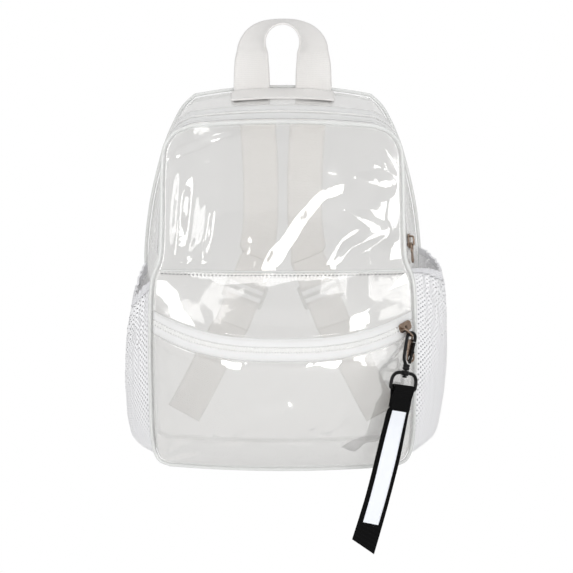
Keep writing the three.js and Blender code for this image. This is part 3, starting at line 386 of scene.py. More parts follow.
def film(name, surface, columns, rows, dent, flip=False, cloud=0.0):
    return sheet_over(name, surface, columns, rows, vinyl, FILM, dent, flip, cloud, slot="clear_vinyl")


def slack(at, seed, big, small):
    """The film's own waviness: slow swells and finer dents."""
    wave = noise.noise(Vector((at.x / 55, at.z / 75, seed)))
    dent = noise.noise(Vector((at.x / 19, at.z / 30, seed + 7)))
    return big * wave + small * dent


def panes(x, z, rows):
    """Flat facets of the film between creases: how much of them lies here, and how far they lift it."""
    here = Vector((x, z))
    cover = lift = 0.0
    for line, width, tilt in rows:
        near = None
        for start, end in zip(line, line[1:]):
            a, b = Vector(start), Vector(end)
            share = min(1.0, max(0.0, (here - a).dot(b - a) / (b - a).length_squared))
            off = here - a.lerp(b, share)
            near = off if near is None or off.length < near.length else near
        mask = math.exp(-((near.length / width) ** 4))
        cover = max(cover, mask)
        lift += mask * near.dot(Vector(tilt))
    return cover, lift


FRONT_PANES = [
    (((-12, 158), (14, 200), (32, 223), (44, 226)), 8.5, (-0.1, 0.09)),
    (((52, 210), (80, 194), (54, 181), (42, 164)), 6, (-0.02, 0.09)),
    (((62, 238), (84, 230)), 8, (-0.02, 0.1)),
    (((-28, 162), (-26, 186)), 4.5, (-0.14, 0.04)),
]
POCKET_PANES = [
    (((50, 86), (38, 50), (24, 38)), 3.2, (-0.09, -0.12)),
    (((36, 36), (60, 54), (84, 66)), 5, (-0.03, -0.1)),
    (((-48, 34), (-22, 48), (4, 56)), 8, (-0.1, -0.17)),
]
FRONT_FOLDS = [
    ((-90, 165), (-80, 245), 5, 2.2),
    ((-78, 165), (-70, 235), 4, -1.6),
    ((-66, 165), (-58, 225), 4, 1.8),
    ((-84, 165), (-62, 190), 4, 1.2),
    ((-20, 160), (-6, 185), 7, 1.8),
    ((70, 262), (96, 225), 7, 2.4),
    ((-92, 246), (-30, 272), 8, -2.6),
]


def front_dent(a, b, at):
    u = 2 * a - 1
    folds = sum(ridge(at.x, at.z, *fold) for fold in FRONT_FOLDS)
    cover, lift = panes(at.x, at.z, FRONT_PANES)
    return 0.8 + edge_fade(u, b) * (slack(at, 3.1, 2.6, 0.5) * (1 - 0.6 * cover) + folds * (1 - cover) + lift)


def back_dent(a, b, at):
    return 0.8 + edge_fade(2 * a - 1, b) * slack(at, 11.4, 2.0, 0.5)


film("front_panel", lambda a, b: front_panel_at(2 * a - 1, b), 110, 130, front_dent)
film("back_panel", lambda a, b: back_panel_at(1 - 2 * a, b), 60, 80, back_dent)

# Gusset. One strip of vinyl runs round the bag between the panels. Below the ends of the zip it is whole,
# and above them the zip parts it into a narrow front strip and a wide back one.
BASE_END, RIGHT_END, TOP_END, LEFT_END, ROUND = 1, 2, 4, 5, 6
GAP, ZIP_FROM_SEAM, TAPE_EDGE, COIL_EDGE = 0.4, 19, 10.5, 2.1


def seam_at(s):
    turn = s % ROUND
    if turn < BASE_END:
        return turn, 0.0
    if turn < RIGHT_END:
        return 1.0, turn - BASE_END
    if turn < TOP_END:
        return 1 - (turn - RIGHT_END), 1.0
    if turn < LEFT_END:
        return -1.0, LEFT_END - turn
    return turn - ROUND, 0.0


@lru_cache(maxsize=100000)
def outward(s):
    e = 0.02
    along = back_edge(*seam_at(s + e)) + front_edge(*seam_at(s + e))
    along -= back_edge(*seam_at(s - e)) + front_edge(*seam_at(s - e))
    return Vector((along.z, 0, -along.x)).normalized()


def gusset_at(s, w):
    at = back_edge(*seam_at(s)).lerp(front_edge(*seam_at(s)), w)
    return at + outward(s) * 2.5 * math.sin(math.pi * min(1, max(0, w)))


def depth_at(s):
    return -front_edge(*seam_at(s)).y


def gusset_from_front(s, b):
    return gusset_at(s, 1 + b / depth_at(s))


def gusset_strip(name, start, end, back, front, steps, columns):
    """A strip of the gusset between two distances from the front seam, which may change along it."""

    def surface(a, b):
        s = start + (end - start) * b
        return gusset_from_front(s, back(s) + (front(s) - back(s)) * a)

    def dent(a, b, at):
        fade = min(1.0, 8 * a * (1 - a)) * min(1.0, 20 * b * (1 - b))
        wave = noise.noise(Vector((at.x / 30, at.y / 30, at.z / 24)))
        return fade * 1.6 * wave

    return film(name, surface, columns, steps, dent, flip=True, cloud=0.55)


zip_right, zip_left, end_gap = BASE_END + 0.5, LEFT_END - 0.5, GAP / BACK_HEIGHT
NOTCH_HALF, NOTCH_DEEP = 15.8, 3.2


def strip_back(s):
    """The back edge of the strip behind the zip, notched where the handle's legs come up."""
    x = abs(back_edge(*seam_at(s)).x)
    top = RIGHT_END < s < TOP_END
    return (NOTCH_DEEP if top and abs(x - LEG_X) < NOTCH_HALF else GAP) - depth_at(s)


upper = (zip_right + end_gap, zip_left - end_gap)
gusset_strip("gusset_upper_front", *upper, lambda s: TAPE_EDGE - ZIP_FROM_SEAM, lambda s: -GAP, 260, 6)
gusset_strip("gusset_upper_back", *upper, strip_back, lambda s: -TAPE_EDGE - GAP - ZIP_FROM_SEAM, 360, 16)
lower = (zip_left + end_gap, zip_right + ROUND - end_gap)
gusset_strip("gusset_lower", *lower, lambda s: GAP - depth_at(s), lambda s: -GAP, 260, 28)

# Piping. A corded bead of milky vinyl is folded into each of the two seams and stands just outside them,
# all the way round.
piping_finish = Finish("vinyl_piping", (0.84, 0.85, 0.84), Roughness=0.2, Coat_Weight=0.3)
piping_finish.dress(piping_finish.noise(260), 0.2, 0.0006)
piping_finish.see_through(0.52 + piping_finish.noise(40) * 0.2, (0.93, 0.93, 0.925))


def wire(name, points, radius, finish, loop=False, sides=3, **riding):
    """A round bead or wire through points, all in metres."""
    data = bpy.data.curves.new(name, "CURVE")
    data.dimensions, data.bevel_depth, data.bevel_resolution, data.use_fill_caps = "3D", radius, sides, True
    for line in points if isinstance(points[0], list) else [points]:
        spline = data.splines.new("POLY")
        spline.points.add(len(line) - 1)
        for knot, at in zip(spline.points, line):
            knot.co = (*at, 1)
        spline.use_cyclic_u = loop
    return placed(name, data, finish, **riding)


def around(edge, off, forward, steps=420):
    stations = [ROUND * i / steps for i in range(steps)]
    return [in_frame(edge(*seam_at(s)) + outward(s) * off + Vector((0, forward, 0))) for s in stations]


bead = {"slot": "vinyl_piping", "loop": True}
wire("front_piping", around(front_edge, 2.3, -0.8), 0.0015, piping_finish, replaces=["front_piping"], **bead)
wire("back_piping", around(back_edge, 2.3, 0.8), 0.0015, piping_finish, replaces=["back_piping"], **bead)

# Main zip. White woven tape with a nylon coil, over the top and half-way down both sides, a little behind
# the front seam. A row of stitches holds each tape to the vinyl.
zip_cloth = Finish("zip_tape", (0.86, 0.86, 0.85), Roughness=0.75, Sheen_Weight=0.2)
zip_rib = zip_cloth.ribs("Y", 330)
zip_fleck = zip_rib * 0.35 + zip_cloth.noise(60) * 0.3
zip_shade = zip_cloth.mixed(zip_fleck, (0.86, 0.86, 0.86), (0.72, 0.72, 0.72))
zip_cloth.dress(zip_rib * 0.6 + zip_cloth.ribs("X", 400) * 0.4, 0.5, 0.0004, Base_Color=zip_shade)
nylon = Finish("zip_coil", (0.88, 0.88, 0.87), Roughness=0.4, Coat_Weight=0.15)
nylon.dress(nylon.noise(900), 0.15, 0.0002)
thread = Finish("sewing_thread", (0.78, 0.78, 0.76), Roughness=0.6)
thread.dress(thread.noise(2500), 0.4, 0.0002)


def stitches(name, path, length, pitch, dash, finish, radius=0.28):
    """A row of short threads along a path in millimetres, given by a share from 0 to 1."""
    count = max(2, round(length / pitch))
    half = dash / pitch / count / 2
    middles = [(i + 0.5) / count for i in range(count)]
    dashes = [[path(m - half), path(m), path(m + half)] for m in middles]
    return wire(name, dashes, radius / 1000, finish, sides=0)


def teeth(name, row, count, half, lift, radius, finish, replaces):
    """A nylon coil: arched loops across the zip, every other one from the other side."""
    loops = []
    for i in range(count):
        middle, across, face = row((i + 0.5) / count)
        lean = across * half
        reach = 0.35 if i % 2 else -0.35
        arch = [(-1 + reach, -0.2), (-0.55 + reach, 0.75), (0.35 + reach, 0.75), (0.85 + reach * 0.4, -0.1)]
        loops.append([in_frame(middle + lean * x + face * (lift + z * radius)) for x, z in arch])
    return wire(name, loops, radius / 1000, finish, slot="zip_coil", replaces=replaces, sides=1)


def upper_strip(far, near):
    def surface(a, b):
        return gusset_from_front(upper[0] + (upper[1] - upper[0]) * b, far + (near - far) * a)

    return surface


zip_from = -ZIP_FROM_SEAM
tape_front = upper_strip(zip_from + COIL_EDGE + GAP, zip_from + TAPE_EDGE)
tape_back = upper_strip(zip_from - TAPE_EDGE, zip_from - COIL_EDGE - GAP)
tape = {"finish": zip_cloth, "thickness": 0.9, "slot": "zip_tape", "flip": True}
sheet_over("main_zip_tape_front", tape_front, 6, 260, **tape)
sheet_over("main_zip_tape_back", tape_back, 6, 260, **tape)
for side, share in (("front", 0.72), ("back", 0.28)):
    strip = tape_front if side == "front" else tape_back

    def sewn(b, strip=strip, share=share):
        at = strip(share, b)
        return in_frame(at + outward(upper[0] + (upper[1] - upper[0]) * b) * 0.65)

    stitches(f"main_zip_stitches_{side}", sewn, 560, 4, 2.9, thread)

coil_start = 1.5345


def main_row(share):
    s = coil_start + (upper[1] - coil_start) * share
    middle = gusset_from_front(s, zip_from)
    return middle, Vector((0, -1, 0)), outward(s)


teeth("main_zip_coil", main_row, 460, 2.1, 0.1, 0.55, nylon, ["main_zip_coil"])

# Handle. One length of soft white webbing makes the loop: its two ends are sewn down under the top of the
# gusset, and a cross band of the same webbing covers the seam. It faces the front at its legs and the sky
# at its crown.
webbing = Finish("white_webbing", (0.8, 0.79, 0.77), Roughness=0.8, Sheen_Weight=0.35, Sheen_Roughness=0.5)
webbing_weave = webbing.ribs("Y", 300) * webbing.ribs("X", 260)
webbing_height = webbing_weave + webbing.noise(700, where=webbing.uv) * 0.25
webbing_fleck = webbing_height * 0.35 + webbing.noise(35) * 0.3
webbing_shade = webbing.mixed(webbing_fleck, (0.8, 0.785, 0.77), (0.68, 0.665, 0.65))
webbing.dress(webbing_height, 0.4, 0.0004, Base_Color=webbing_shade)


def ribbon(frames, width):
    """The surface of a tape whose middle runs through frames of a place and a direction across it."""
    line = curve_through([at for at, across in frames])
    turn = curve_through([across for at, across in frames])
    return lambda a, b: line(b) + turn(b).normalized() * (a - 0.5) * width


def from_back(x, mm):
    s = RIGHT_END + 1 - x / back_side(1.0).x
    return gusset_at(s, mm / depth_at(s))


LEG_Y, ARCH_Z = -2, CROWN_Z - 24.2
handle_half = []
for mm in (36, 28, 20, 12, 6.5):
    inner, outer = from_back(LEG_X - 15, mm), from_back(LEG_X + 15, mm)
    handle_half.append(((inner + outer) / 2 - Vector((0, 0, 1.75)), (outer - inner).normalized()))
handle_half.append((Vector((LEG_X, LEG_Y - 1.2, ARCH_Z - 33.6)), Vector((1, 0, -0.05))))
for drop, twist in ((31.5, 4), (24, 8), (16, 14), (8, 23)):
    turn = math.radians(twist)
    across = Vector((math.cos(turn), math.sin(turn), 0))
    handle_half.append((Vector((LEG_X + 0.6, LEG_Y, ARCH_Z - drop)), across))
crown = []
for i in range(25):
    angle = math.pi * i / 24
    out = Vector((math.cos(angle), 0, math.sin(angle)))
    turn = math.radians(33 + 57 * math.sin(angle) ** 1.3)
    face = Vector((0, -1, 0)) * math.cos(turn) + out * math.sin(turn)
    along = Vector((-math.sin(angle), 0, math.cos(angle)))
    crown.append((Vector((0, LEG_Y, ARCH_Z)) + out * LEG_X, -face.cross(along)))
other_half = [(Vector((-at.x, at.y, at.z)), Vector((-v.x, v.y, v.z))) for at, v in reversed(handle_half)]
handle_frames = handle_half + crown + other_half
handle_surface = ribbon(handle_frames, WEBBING_WIDE)


def soft(seed, size):
    return lambda a, b, at: size * noise.noise(Vector((at.x / 12, at.y / 12 + seed, at.z / 16)))


cloth = {"finish": webbing, "thickness": WEBBING_THICK, "slot": "white_webbing"}
sheet_over("handle", handle_surface, 16, 300, dent=soft(1, 0.5), **cloth)


def patch_surface(a, b):
    at = from_back(-42 + 84 * a, 3.2 + 22 * (1 - b))
    return at + Vector((0, 0, 1.6))


sheet_over("handle_patch", patch_surface, 60, 16, dent=soft(4, 0.3), **cloth)
for row, b in (("near", 0.1), ("far", 0.9)):

    def on_patch(share, b=b):
        return in_frame(patch_surface(share, b) + Vector((0, 0, 0.85)))

    stitches(f"patch_stitches_{row}", on_patch, 84, 3.4, 2.5, thread)

# Front pocket. Two sheets of the same vinyl, puffed out over the lower half of the front, with a zip that
# sags between them. They are sewn in along the side seams, the base and a double-stitched top edge.
POCKET_TOP_Z, POCKET_ZIP_Z, POCKET_ZIP_RISE, POCKET_EDGE, POCKET_TAPE_EDGE = 161, 102, 17, 0.994, 9
side_heights = [front_side(i / 2000).z for i in range(2001)]


def share_up(heights, z):
    i = min(max(bisect(heights, z), 1), len(heights) - 1)
    low, high = heights[i - 1], heights[i]
    return (i - 1 + min(1, max(0, (z - low) / (high - low)))) / (len(heights) - 1)


def pocket_at(u, h):
    across = max(0, 1 - abs(u) ** 3.4)
    up = max(0, 1 - abs(2 * min(1, max(0, h)) ** 0.8 - 1) ** 3)
    panel = front_panel_at(u, share_up(side_heights, h * POCKET_TOP_Z))
    return panel + Vector((0, -2.8 - 24 * across * up, 0))


def from_zip(u, mm):
    return (POCKET_ZIP_Z + POCKET_ZIP_RISE * abs(u) ** 2.6 + mm) / POCKET_TOP_Z


def pocket_u(a):
    return (2 * a - 1) * POCKET_EDGE


def lower_pocket(a, b):
    u = pocket_u(a)
    return pocket_at(u, b * from_zip(u, -POCKET_TAPE_EDGE - GAP))


def upper_pocket(a, b):
    u = pocket_u(a)
    low = from_zip(u, POCKET_TAPE_EDGE + GAP)
    return pocket_at(u, low + (1 - low) * b)


def pocket_strip(low, high):
    def surface(a, b):
        u = pocket_u(a)
        return pocket_at(u, from_zip(u, low + (high - low) * b))

    return surface


def pucker(a, b, corner, reach, size):
    """Creases that fan out of a corner of the pocket."""
    dx, dy = a - corner[0], (b - corner[1]) * 0.6
    near = math.hypot(dx, dy)
    return size * math.sin(9 * math.atan2(dy, dx)) * math.exp(-((near / reach) ** 2)) * min(1, near / 0.05)


CREASES = (((1, 0), 0.2, 2.0), ((0, 0), 0.2, 1.6), ((1, 1), 0.16, 1.2))


def lower_dent(a, b, at):
    fade = edge_fade(2 * a - 1, b, 0.1)
    corners = sum(pucker(a, b, *crease) for crease in CREASES)
    cover, lift = panes(at.x, at.z, POCKET_PANES)
    return fade * (slack(at, 21.7, 2.0, 0.5) * (1 - 0.6 * cover) + corners + lift)


def upper_dent(a, b, at):
    return edge_fade(2 * a - 1, b, 0.2) * slack(at, 31.2, 0.8, 0.35)


film("pocket_lower_panel", lower_pocket, 110, 70, lower_dent, cloud=1.1)
film("pocket_upper_panel", upper_pocket, 110, 26, upper_dent, cloud=0.8)
tape["flip"] = False
sheet_over("pocket_zip_tape_lower", pocket_strip(-POCKET_TAPE_EDGE, -COIL_EDGE), 120, 6, **tape)
sheet_over("pocket_zip_tape_upper", pocket_strip(COIL_EDGE, POCKET_TAPE_EDGE), 120, 6, **tape)


def on_pocket(mm, off, top=False):
    def path(share):
        u = pocket_u(0.01 + 0.98 * share)
        h = 1 - mm / POCKET_TOP_Z if top else from_zip(u, mm)
        return in_frame(pocket_at(u, h) + Vector((0, -off, 0)))

    return path


stitches("pocket_zip_stitches_lower", on_pocket(1.5 - POCKET_TAPE_EDGE, 0.8), 220, 4, 2.9, thread)
stitches("pocket_zip_stitches_upper", on_pocket(POCKET_TAPE_EDGE - 1.5, 0.8), 220, 4, 2.9, thread)
# The lower row along the pocket's top edge is drawn near-black. This is painted shade of the needle holes in
# the vinyl, not dark thread.
hole_shade_paint = Finish("seam_holes", (0.05, 0.05, 0.05), Roughness=0.8)
hole_shade_paint.dress(hole_shade_paint.noise(2500), 0.4, 0.0002)
stitches("pocket_top_stitches", on_pocket(2.4, 1.5, top=True), 214, 3.4, 1.9, hole_shade_paint, 0.3)
stitches("pocket_top_stitches_high", on_pocket(0.9, 0.9, top=True), 214, 3.4, 1.6, thread, 0.3)
wire("pocket_top_bead", [on_pocket(0, 0.3, top=True)(i / 80) for i in range(81)], 0.0008, piping_finish)


def pocket_row(share):
    u = -0.99 + 1.94 * share
    e = 1e-3
    along = pocket_at(u + e, from_zip(u + e, 0)) - pocket_at(u - e, from_zip(u - e, 0))
    middle = pocket_at(u, from_zip(u, 0))
    up = pocket_at(u, from_zip(u, 1)) - middle
    face = along.cross(up).normalized()
    return middle, up.normalized(), face


teeth("pocket_zip_coil", pocket_row, 190, 2.0, 0.1, 0.55, nylon, ["pocket_zip_coil"])

# Side pockets. White knitted mesh, sewn to the gusset along its base and near both seams. Its open top is
# gathered by an elastic binding.
knit = Finish("white_mesh", (0.9, 0.9, 0.92), Roughness=0.85, Sheen_Weight=0.5)
knit_place = knit.node("ShaderNodeMapping", {}, {"Vector": knit.uv, "Rotation": (0, 0, math.radians(45))})
knit_cells = {"Vector": knit_place, "Scale": 430.0, "Randomness": 0.0}
knit_holes = knit.node("ShaderNodeTexVoronoi", {}, knit_cells)
knit_shade = knit.mixed(knit_holes, (0.88, 0.88, 0.9), (0.98, 0.98, 0.99))
knit.dress(knit_holes, 0.6, 0.0006, Base_Color=knit_shade, Alpha=knit_holes > 0.25)
elastic = Finish("pocket_elastic", (0.84, 0.84, 0.86), Roughness=0.8, Sheen_Weight=0.3)
elastic_rib = elastic.ribs("Y", 190)
elastic_fleck = elastic_rib * 0.5 + elastic.noise(90) * 0.3
elastic_shade = elastic.mixed(elastic_fleck, (0.9, 0.9, 0.92), (0.68, 0.68, 0.71))
elastic.dress(elastic_rib, 0.6, 0.0006, Base_Color=elastic_shade)

MESH_LOW, MESH_SIDE, MOUTH_SAG = 0.09, 0.07, 0.04
SWELL = {
    "left": (0.02, 0.5, 0.82, 0.96, 1.0, 0.92, 0.76, 0.5),
    "right": (0.02, 0.4, 0.74, 0.92, 1.0, 0.98, 0.9, 0.72),
}


def mesh_wall(side, high, bulge):
    swell = curve_through([Vector((0, share, 0)) for share in SWELL[side]])

    def wall(p, w):
        across = math.sin(math.pi * min(1, max(0, (w - MESH_SIDE) / (1 - 2 * MESH_SIDE))))
        t = MESH_LOW + (high - MOUTH_SAG * across - MESH_LOW) * p
        s = LEFT_END - t if side == "left" else BASE_END + t
        return gusset_at(s, w) + outward(s) * (1.7 + bulge * across**0.8 * swell(p).y)

    return wall


for side, high, bulge in (("left", 0.41, 19), ("right", 0.45, 24)):
    wall = mesh_wall(side, high, bulge)
    tall = (wall(0, MESH_SIDE) - wall(1, MESH_SIDE)).length
    rim = 1 - 8 / tall

    def net(a, b, wall=wall, rim=rim):
        return wall(b * rim, MESH_SIDE + (1 - 2 * MESH_SIDE) * a)

    def band(a, b, wall=wall, rim=rim, tall=tall):
        low = rim + 0.4 / tall
        return wall(low + (1 - low) * b, MESH_SIDE + (1 - 2 * MESH_SIDE) * a)

    def gathers(a, b, at):
        pull = math.exp(-((1 - b) / 0.22)) * min(1, 12 * a * (1 - a))
        pleats = math.sin(72 * a + 5 * noise.noise(Vector((at.z / 9, a * 9, 2))))
        return pull * 1.3 * pleats + 0.6 * noise.noise(at / 17)

    def ruffle(a, b, at):
        return 0.7 * min(1, 12 * a * (1 - a)) * math.sin(72 * a + 4 * noise.noise(Vector((0, a * 9, 2))))

    flip = side == "left"
    knitted = {"finish": knit, "thickness": 0.8, "slot": "white_mesh"}
    net_piece = sheet_over(f"mesh_pocket_{side}", net, 90, 60, dent=gathers, flip=flip, **knitted)
    wide = sum((net((i + 1) / 40, 0.6) - net(i / 40, 0.6)).length for i in range(40)) / 1000
    long = sum((net(0.5, (i + 1) / 40) - net(0.5, i / 40)).length for i in range(40)) / 1000
    bound = {"finish": elastic, "thickness": 1.7, "slot": "white_webbing"}
    sheet_over(f"pocket_elastic_{side}", band, 110, 8, dent=ruffle, flip=flip, **bound)

# Shoulder straps. Flat white webbing from the top of the back panel to a ladder-lock adjuster, and from
# there to the base corner. From the front they show as pale bands through the two sheets of vinyl.
STRAP_ROWS = [  # how far up, how far aside, and how far the strap bows out behind the back panel
    (0.955, 0.19, 0.015),
    (0.9, 0.185, 0.04),
    (0.83, 0.175, 0.3),
    (0.7, 0.165, 0.8),
    (0.55, 0.18, 1.0),
    (0.42, 0.26, 0.95),
    (0.3, 0.4, 0.76),
    (0.18, 0.57, 0.42),
    (0.1, 0.69, 0.06),
    (0.06, 0.75, 0.0),
]
back_heights = [back_side(i / 2000).z for i in range(2001)]
moulded = Finish("adjuster", (0.84, 0.84, 0.83), Roughness=0.33, Coat_Weight=0.1)
moulded.dress(moulded.noise(420, 3.0), 0.15, 0.0004)


def plate(name, outline, holes, thickness, bevel, place, finish, **riding):
    """A flat plate with rounded edges, from an outline and holes in millimetres, at its own place."""
    data = bpy.data.curves.new(name, "CURVE")
    data.dimensions, data.fill_mode = "2D", "BOTH"
    data.extrude, data.bevel_depth, data.bevel_resolution = thickness / 2 - bevel, bevel, 3
    data.offset = -bevel
    for ring in (outline, *holes):
        spline = data.splines.new("POLY")
        spline.points.add(len(ring) - 1)
        for knot, at in zip(spline.points, ring):
            knot.co = (at[0], at[1], 0, 1)
        spline.use_cyclic_u = True
    flat = bpy.data.objects.new(name, data)
    scene.collection.objects.link(flat)
    mesh = bmesh.new()
    mesh.from_mesh(bpy.data.meshes.new_from_object(flat.evaluated_get(bpy.context.evaluated_depsgraph_get())))
    bpy.data.objects.remove(flat)
    bmesh.ops.remove_doubles(mesh, verts=mesh.verts, dist=1e-3)
    bmesh.ops.transform(mesh, matrix=place, verts=mesh.verts)
    return finished(name, mesh, finish, shade_smooth=False, **riding)


def rounded_box(wide, tall, corner, cx=0.0, cy=0.0, steps=6):
    ring = []
    for i, (sx, sy) in enumerate(((1, 1), (-1, 1), (-1, -1), (1, -1))):
        for j in range(steps + 1):
            angle = math.pi / 2 * (i + j / steps)
            x = cx + sx * (wide / 2 - corner) + corner * math.cos(angle)
            ring.append((x, cy + sy * (tall / 2 - corner) + corner * math.sin(angle)))
    return ring


def local(origin, x, y, z):
    """A piece's own place: its axes and its origin in metres, for points in millimetres."""
    turn = Matrix((Vector(x) / 1000, Vector(y) / 1000, Vector(z) / 1000)).transposed().to_4x4()
    return Matrix.Translation(origin) @ turn


def turn_round(at, run, near, across, bar_half, thick, tail):
    """A tape's way along a run, round a bar and back, as frames."""
    radius, apart = bar_half + GAP + thick / 2, (thick + GAP) / 2
    steps = [(tail, apart), (tail * 0.7, apart), (radius * 3, apart)]
    for i in range(9):
        angle = math.pi / 2 - math.pi * i / 8
        steps.append((-radius * math.cos(angle), radius * math.sin(angle)))
    steps += [(radius * 3, -apart), (tail * 0.7, -apart), (tail, -apart)]
    return [(at - run * back + near * off, across) for back, off in steps]


def strap_point(sign, up, side, bow):
    t = share_up(back_heights, up * BACK_HEIGHT)
    x = side * BACK_HALF
    panel = back_panel_at(x / back_side(t).x, t)
    return Vector((sign * x, panel.y + 2.4 + bow * 38, up * BACK_HEIGHT))


def even(curve, steps=400):
    """The same curve by its length, and its whole length."""
    lengths = [0.0]
    for i in range(steps):
        lengths.append(lengths[-1] + (curve((i + 1) / steps) - curve(i / steps)).length)
    return lambda share: curve(share_up(lengths, share * lengths[-1])), lengths[-1]


# The straps' webbing is paler than the handle's and has a weak emission. This is painted light: a glow that
# makes up for the light the vinyl in front takes from them.
strap_painted_glow = {"Emission_Color": (1, 0.98, 0.95, 1), "Emission_Strength": 0.06}
strap_cloth = Finish("strap_webbing", (0.92, 0.9, 0.88), Roughness=0.8, Sheen_Weight=0.35, **strap_painted_glow)
strap_rib = strap_cloth.ribs("Y", 300)
strap_fleck = strap_rib * 0.4 + strap_cloth.noise(35) * 0.3
strap_shade = strap_cloth.mixed(strap_fleck, (0.97, 0.955, 0.935), (0.86, 0.84, 0.82))
strap_cloth.dress(strap_rib, 0.4, 0.0004, Base_Color=strap_shade)
straps = {"finish": strap_cloth, "thickness": WEBBING_THICK, "slot": "white_webbing"}
BUCKLE_AT, FOLD_BACK = 0.6, 22

for side, sign in (("left", -1), ("right", 1)):
    line, length = even(curve_through([strap_point(sign, *row) for row in STRAP_ROWS]))

    def run_at(share, line=line):
        return (line(min(1, share + 0.002)) - line(max(0, share - 0.002))).normalized()

    centre, run = line(BUCKLE_AT), run_at(BUCKLE_AT)
    across = run.cross(Vector((0, 1, 0))).normalized()
    face = across.cross(run).normalized()
    bars = [rounded_box(30.8, 6, 0.9, 0, y) for y in (4.5, -4.5)]
    adjuster_place = local(in_frame(centre), across, face.cross(across), face)
    adjuster = {"slot": "adjuster", "replaces": [f"strap_adjuster_{side}"]}
    buckle = rounded_box(36.8, 21, 2.1)
    plate(f"strap_adjuster_{side}", buckle, bars, 2.4, 0.5, adjuster_place, moulded, **adjuster)

    def along(share):
        return line(share), run_at(share).cross(Vector((0, 1, 0))).normalized()

    tail = 31 / length
    bar_half = math.hypot(3, 2.4) / 2
    top = [along((BUCKLE_AT - tail * 1.25) * i / 14) for i in range(15)]
    foot = [along(1 - (1 - BUCKLE_AT - tail * 1.25) * i / 10) for i in range(11)]
    top += turn_round(centre - run * 9, run, face, across, bar_half, 1.6, FOLD_BACK)
    foot += turn_round(centre + run * 9, -run, face, across, bar_half, 1.6, FOLD_BACK)
    for name, frames, steps in ((f"shoulder_strap_{side}", top, 200), (f"strap_webbing_{side}", foot, 120)):
        sheet_over(name, ribbon(frames, WEBBING_WIDE), 10, steps, **straps)

# Zip sliders and pullers. Cast and plated a bronze-tinged gunmetal: two plates over and under the zip on a
# post, a bail that stands on the upper plate, and a flat puller with a slot for the bail and a round hole.
gunmetal = Finish("gunmetal", (0.16, 0.13, 0.11), Metallic=1.0, Roughness=0.28)
gunmetal_shade = gunmetal.mixed(gunmetal.noise(260, 3.0), (0.4, 0.3, 0.23), (0.16, 0.12, 0.1))
gunmetal_worn = {"Base_Color": gunmetal_shade, "Roughness": 0.14 + gunmetal.noise(220) * 0.16}
gunmetal.dress(gunmetal.noise(700, 3.0), 0.45, 0.0006, **gunmetal_worn)


def arc(cx, cy, radius, start, end, steps=12):
    angles = [start + (end - start) * i / steps for i in range(steps + 1)]
    return [(cx + radius * math.cos(a), cy + radius * math.sin(a)) for a in angles]


def slider(name, place, rise, hang, foot):
    """The slider's two plates, its post and its bail."""
    top = 2.55 + rise
    for level in (-2.0, 2.0):
        lift = place @ Matrix.Translation((0, 0, level))
        outline = rounded_box(12, 8, 2.4)
        leaf = {"slot": "gunmetal", "replaces": [name] if level > 0 else ()}
        plate(name if level > 0 else f"{name}_under_plate", outline, [], 1.1, 0.3, lift, gunmetal, **leaf)
    mesh = bmesh.new()
    bmesh.ops.create_cone(mesh, cap_ends=True, segments=20, radius1=1.3, radius2=1.3, depth=4)
    bmesh.ops.transform(mesh, matrix=place @ Matrix.Translation((3, 0, 0)), verts=mesh.verts)
    finished(f"{name}_post", mesh, gunmetal, slot="gunmetal")
    bend = 1.6
    start, end = Vector((-3.8, 0, 2.0)), Vector((*hang, 2.0))
    over = (end - start).normalized()

    def bail(leg, away, angle):
        lift = Vector((0, 0, top - 2 - bend + bend * math.sin(angle)))
        return leg + away * bend * (1 - math.cos(angle)) + lift

    quarter = [math.pi / 2 * i / 6 for i in range(7)]
    points = [start] + [bail(start, over, angle) for angle in quarter]
    points += [bail(end, -over, angle) for angle in reversed(quarter)] + [end]
    wire(f"{name}_bail", [place @ p for p in points], 0.0008, gunmetal, slot="gunmetal")
    if foot:
        lift = place @ Matrix.Translation((0, 0, 2.0))
        tongue = rounded_box(2.7, 10.7, 1.0, 0.6, -4)
        plate(f"{name}_tongue", tongue, [], 1.1, 0.25, lift, gunmetal, slot="gunmetal")


def puller(name, place, body, length, width, high, low):
    half, edge = width / 2, 1.6 + 1.3
    top, waist = high + 1.3, low - 1.3
    foot = top - length + half
    outline = [(-edge + 0.5, top), (-edge, top - 0.5), (-edge, waist), (-width * 0.34, waist - width * 0.3)]
    outline += [(-half * 0.97, foot + half * 0.6)] + arc(0, foot, half, math.pi, 2 * math.pi)
    outline += [(half * 0.97, foot + half * 0.6), (width * 0.34, waist - width * 0.3), (edge, waist)]
    outline += [(edge, top - 0.5), (edge - 0.5, top)]
    eye = rounded_box(3.2, high - low, 0.8, 0, (high + low) / 2)
    hole = arc(0, foot, half - 1.3, 0, 2 * math.pi * 0.96, 23)
    puller_slot = {"slot": "gunmetal", "replaces": [name]}
    plate(name, outline, [eye, hole], 1.5, 0.35, place, gunmetal, body=body, **puller_slot)


pocket_slider_place = local(
    (0.09849, -0.08824, -0.23694),
    (0.78283, 0.55091, 0.28927),
    (-0.2869, -0.09296, 0.95344),
    (0.55215, -0.82937, 0.08528),
)
pocket_puller_place = local(
    (0.1033, -0.09023, -0.24408),
    (0.83241, 0.55417, 0),
    (-0.04726, 0.07099, 0.99636),
    (0.55215, -0.82937, 0.08528),
)
main_slider_place = local(
    (0.102, -0.05514, -0.17288),
    (0.0767, -0.12327, -0.9894),
    (0.2618, 0.96, -0.09931),
    (0.96207, -0.25141, 0.10591),
)
main_puller_place = local(
    (0.10571, -0.05631, -0.17442),
    (0.2618, 0.96, -0.09931),
    (-0.0767, 0.12327, 0.9894),
    (0.96207, -0.25141, 0.10591),
)
slider("pocket_slider", pocket_slider_place, 6.2, (0.6, -8), True)
puller("pocket_puller", pocket_puller_place, "pocket_pull", 25, 7.6, 1.2, -3.2)
slider("main_slider", main_slider_place, 3.1, (3.8, 0), False)
puller("main_puller", main_puller_place, "main_pull", 17, 5, -0.65, -5.25)

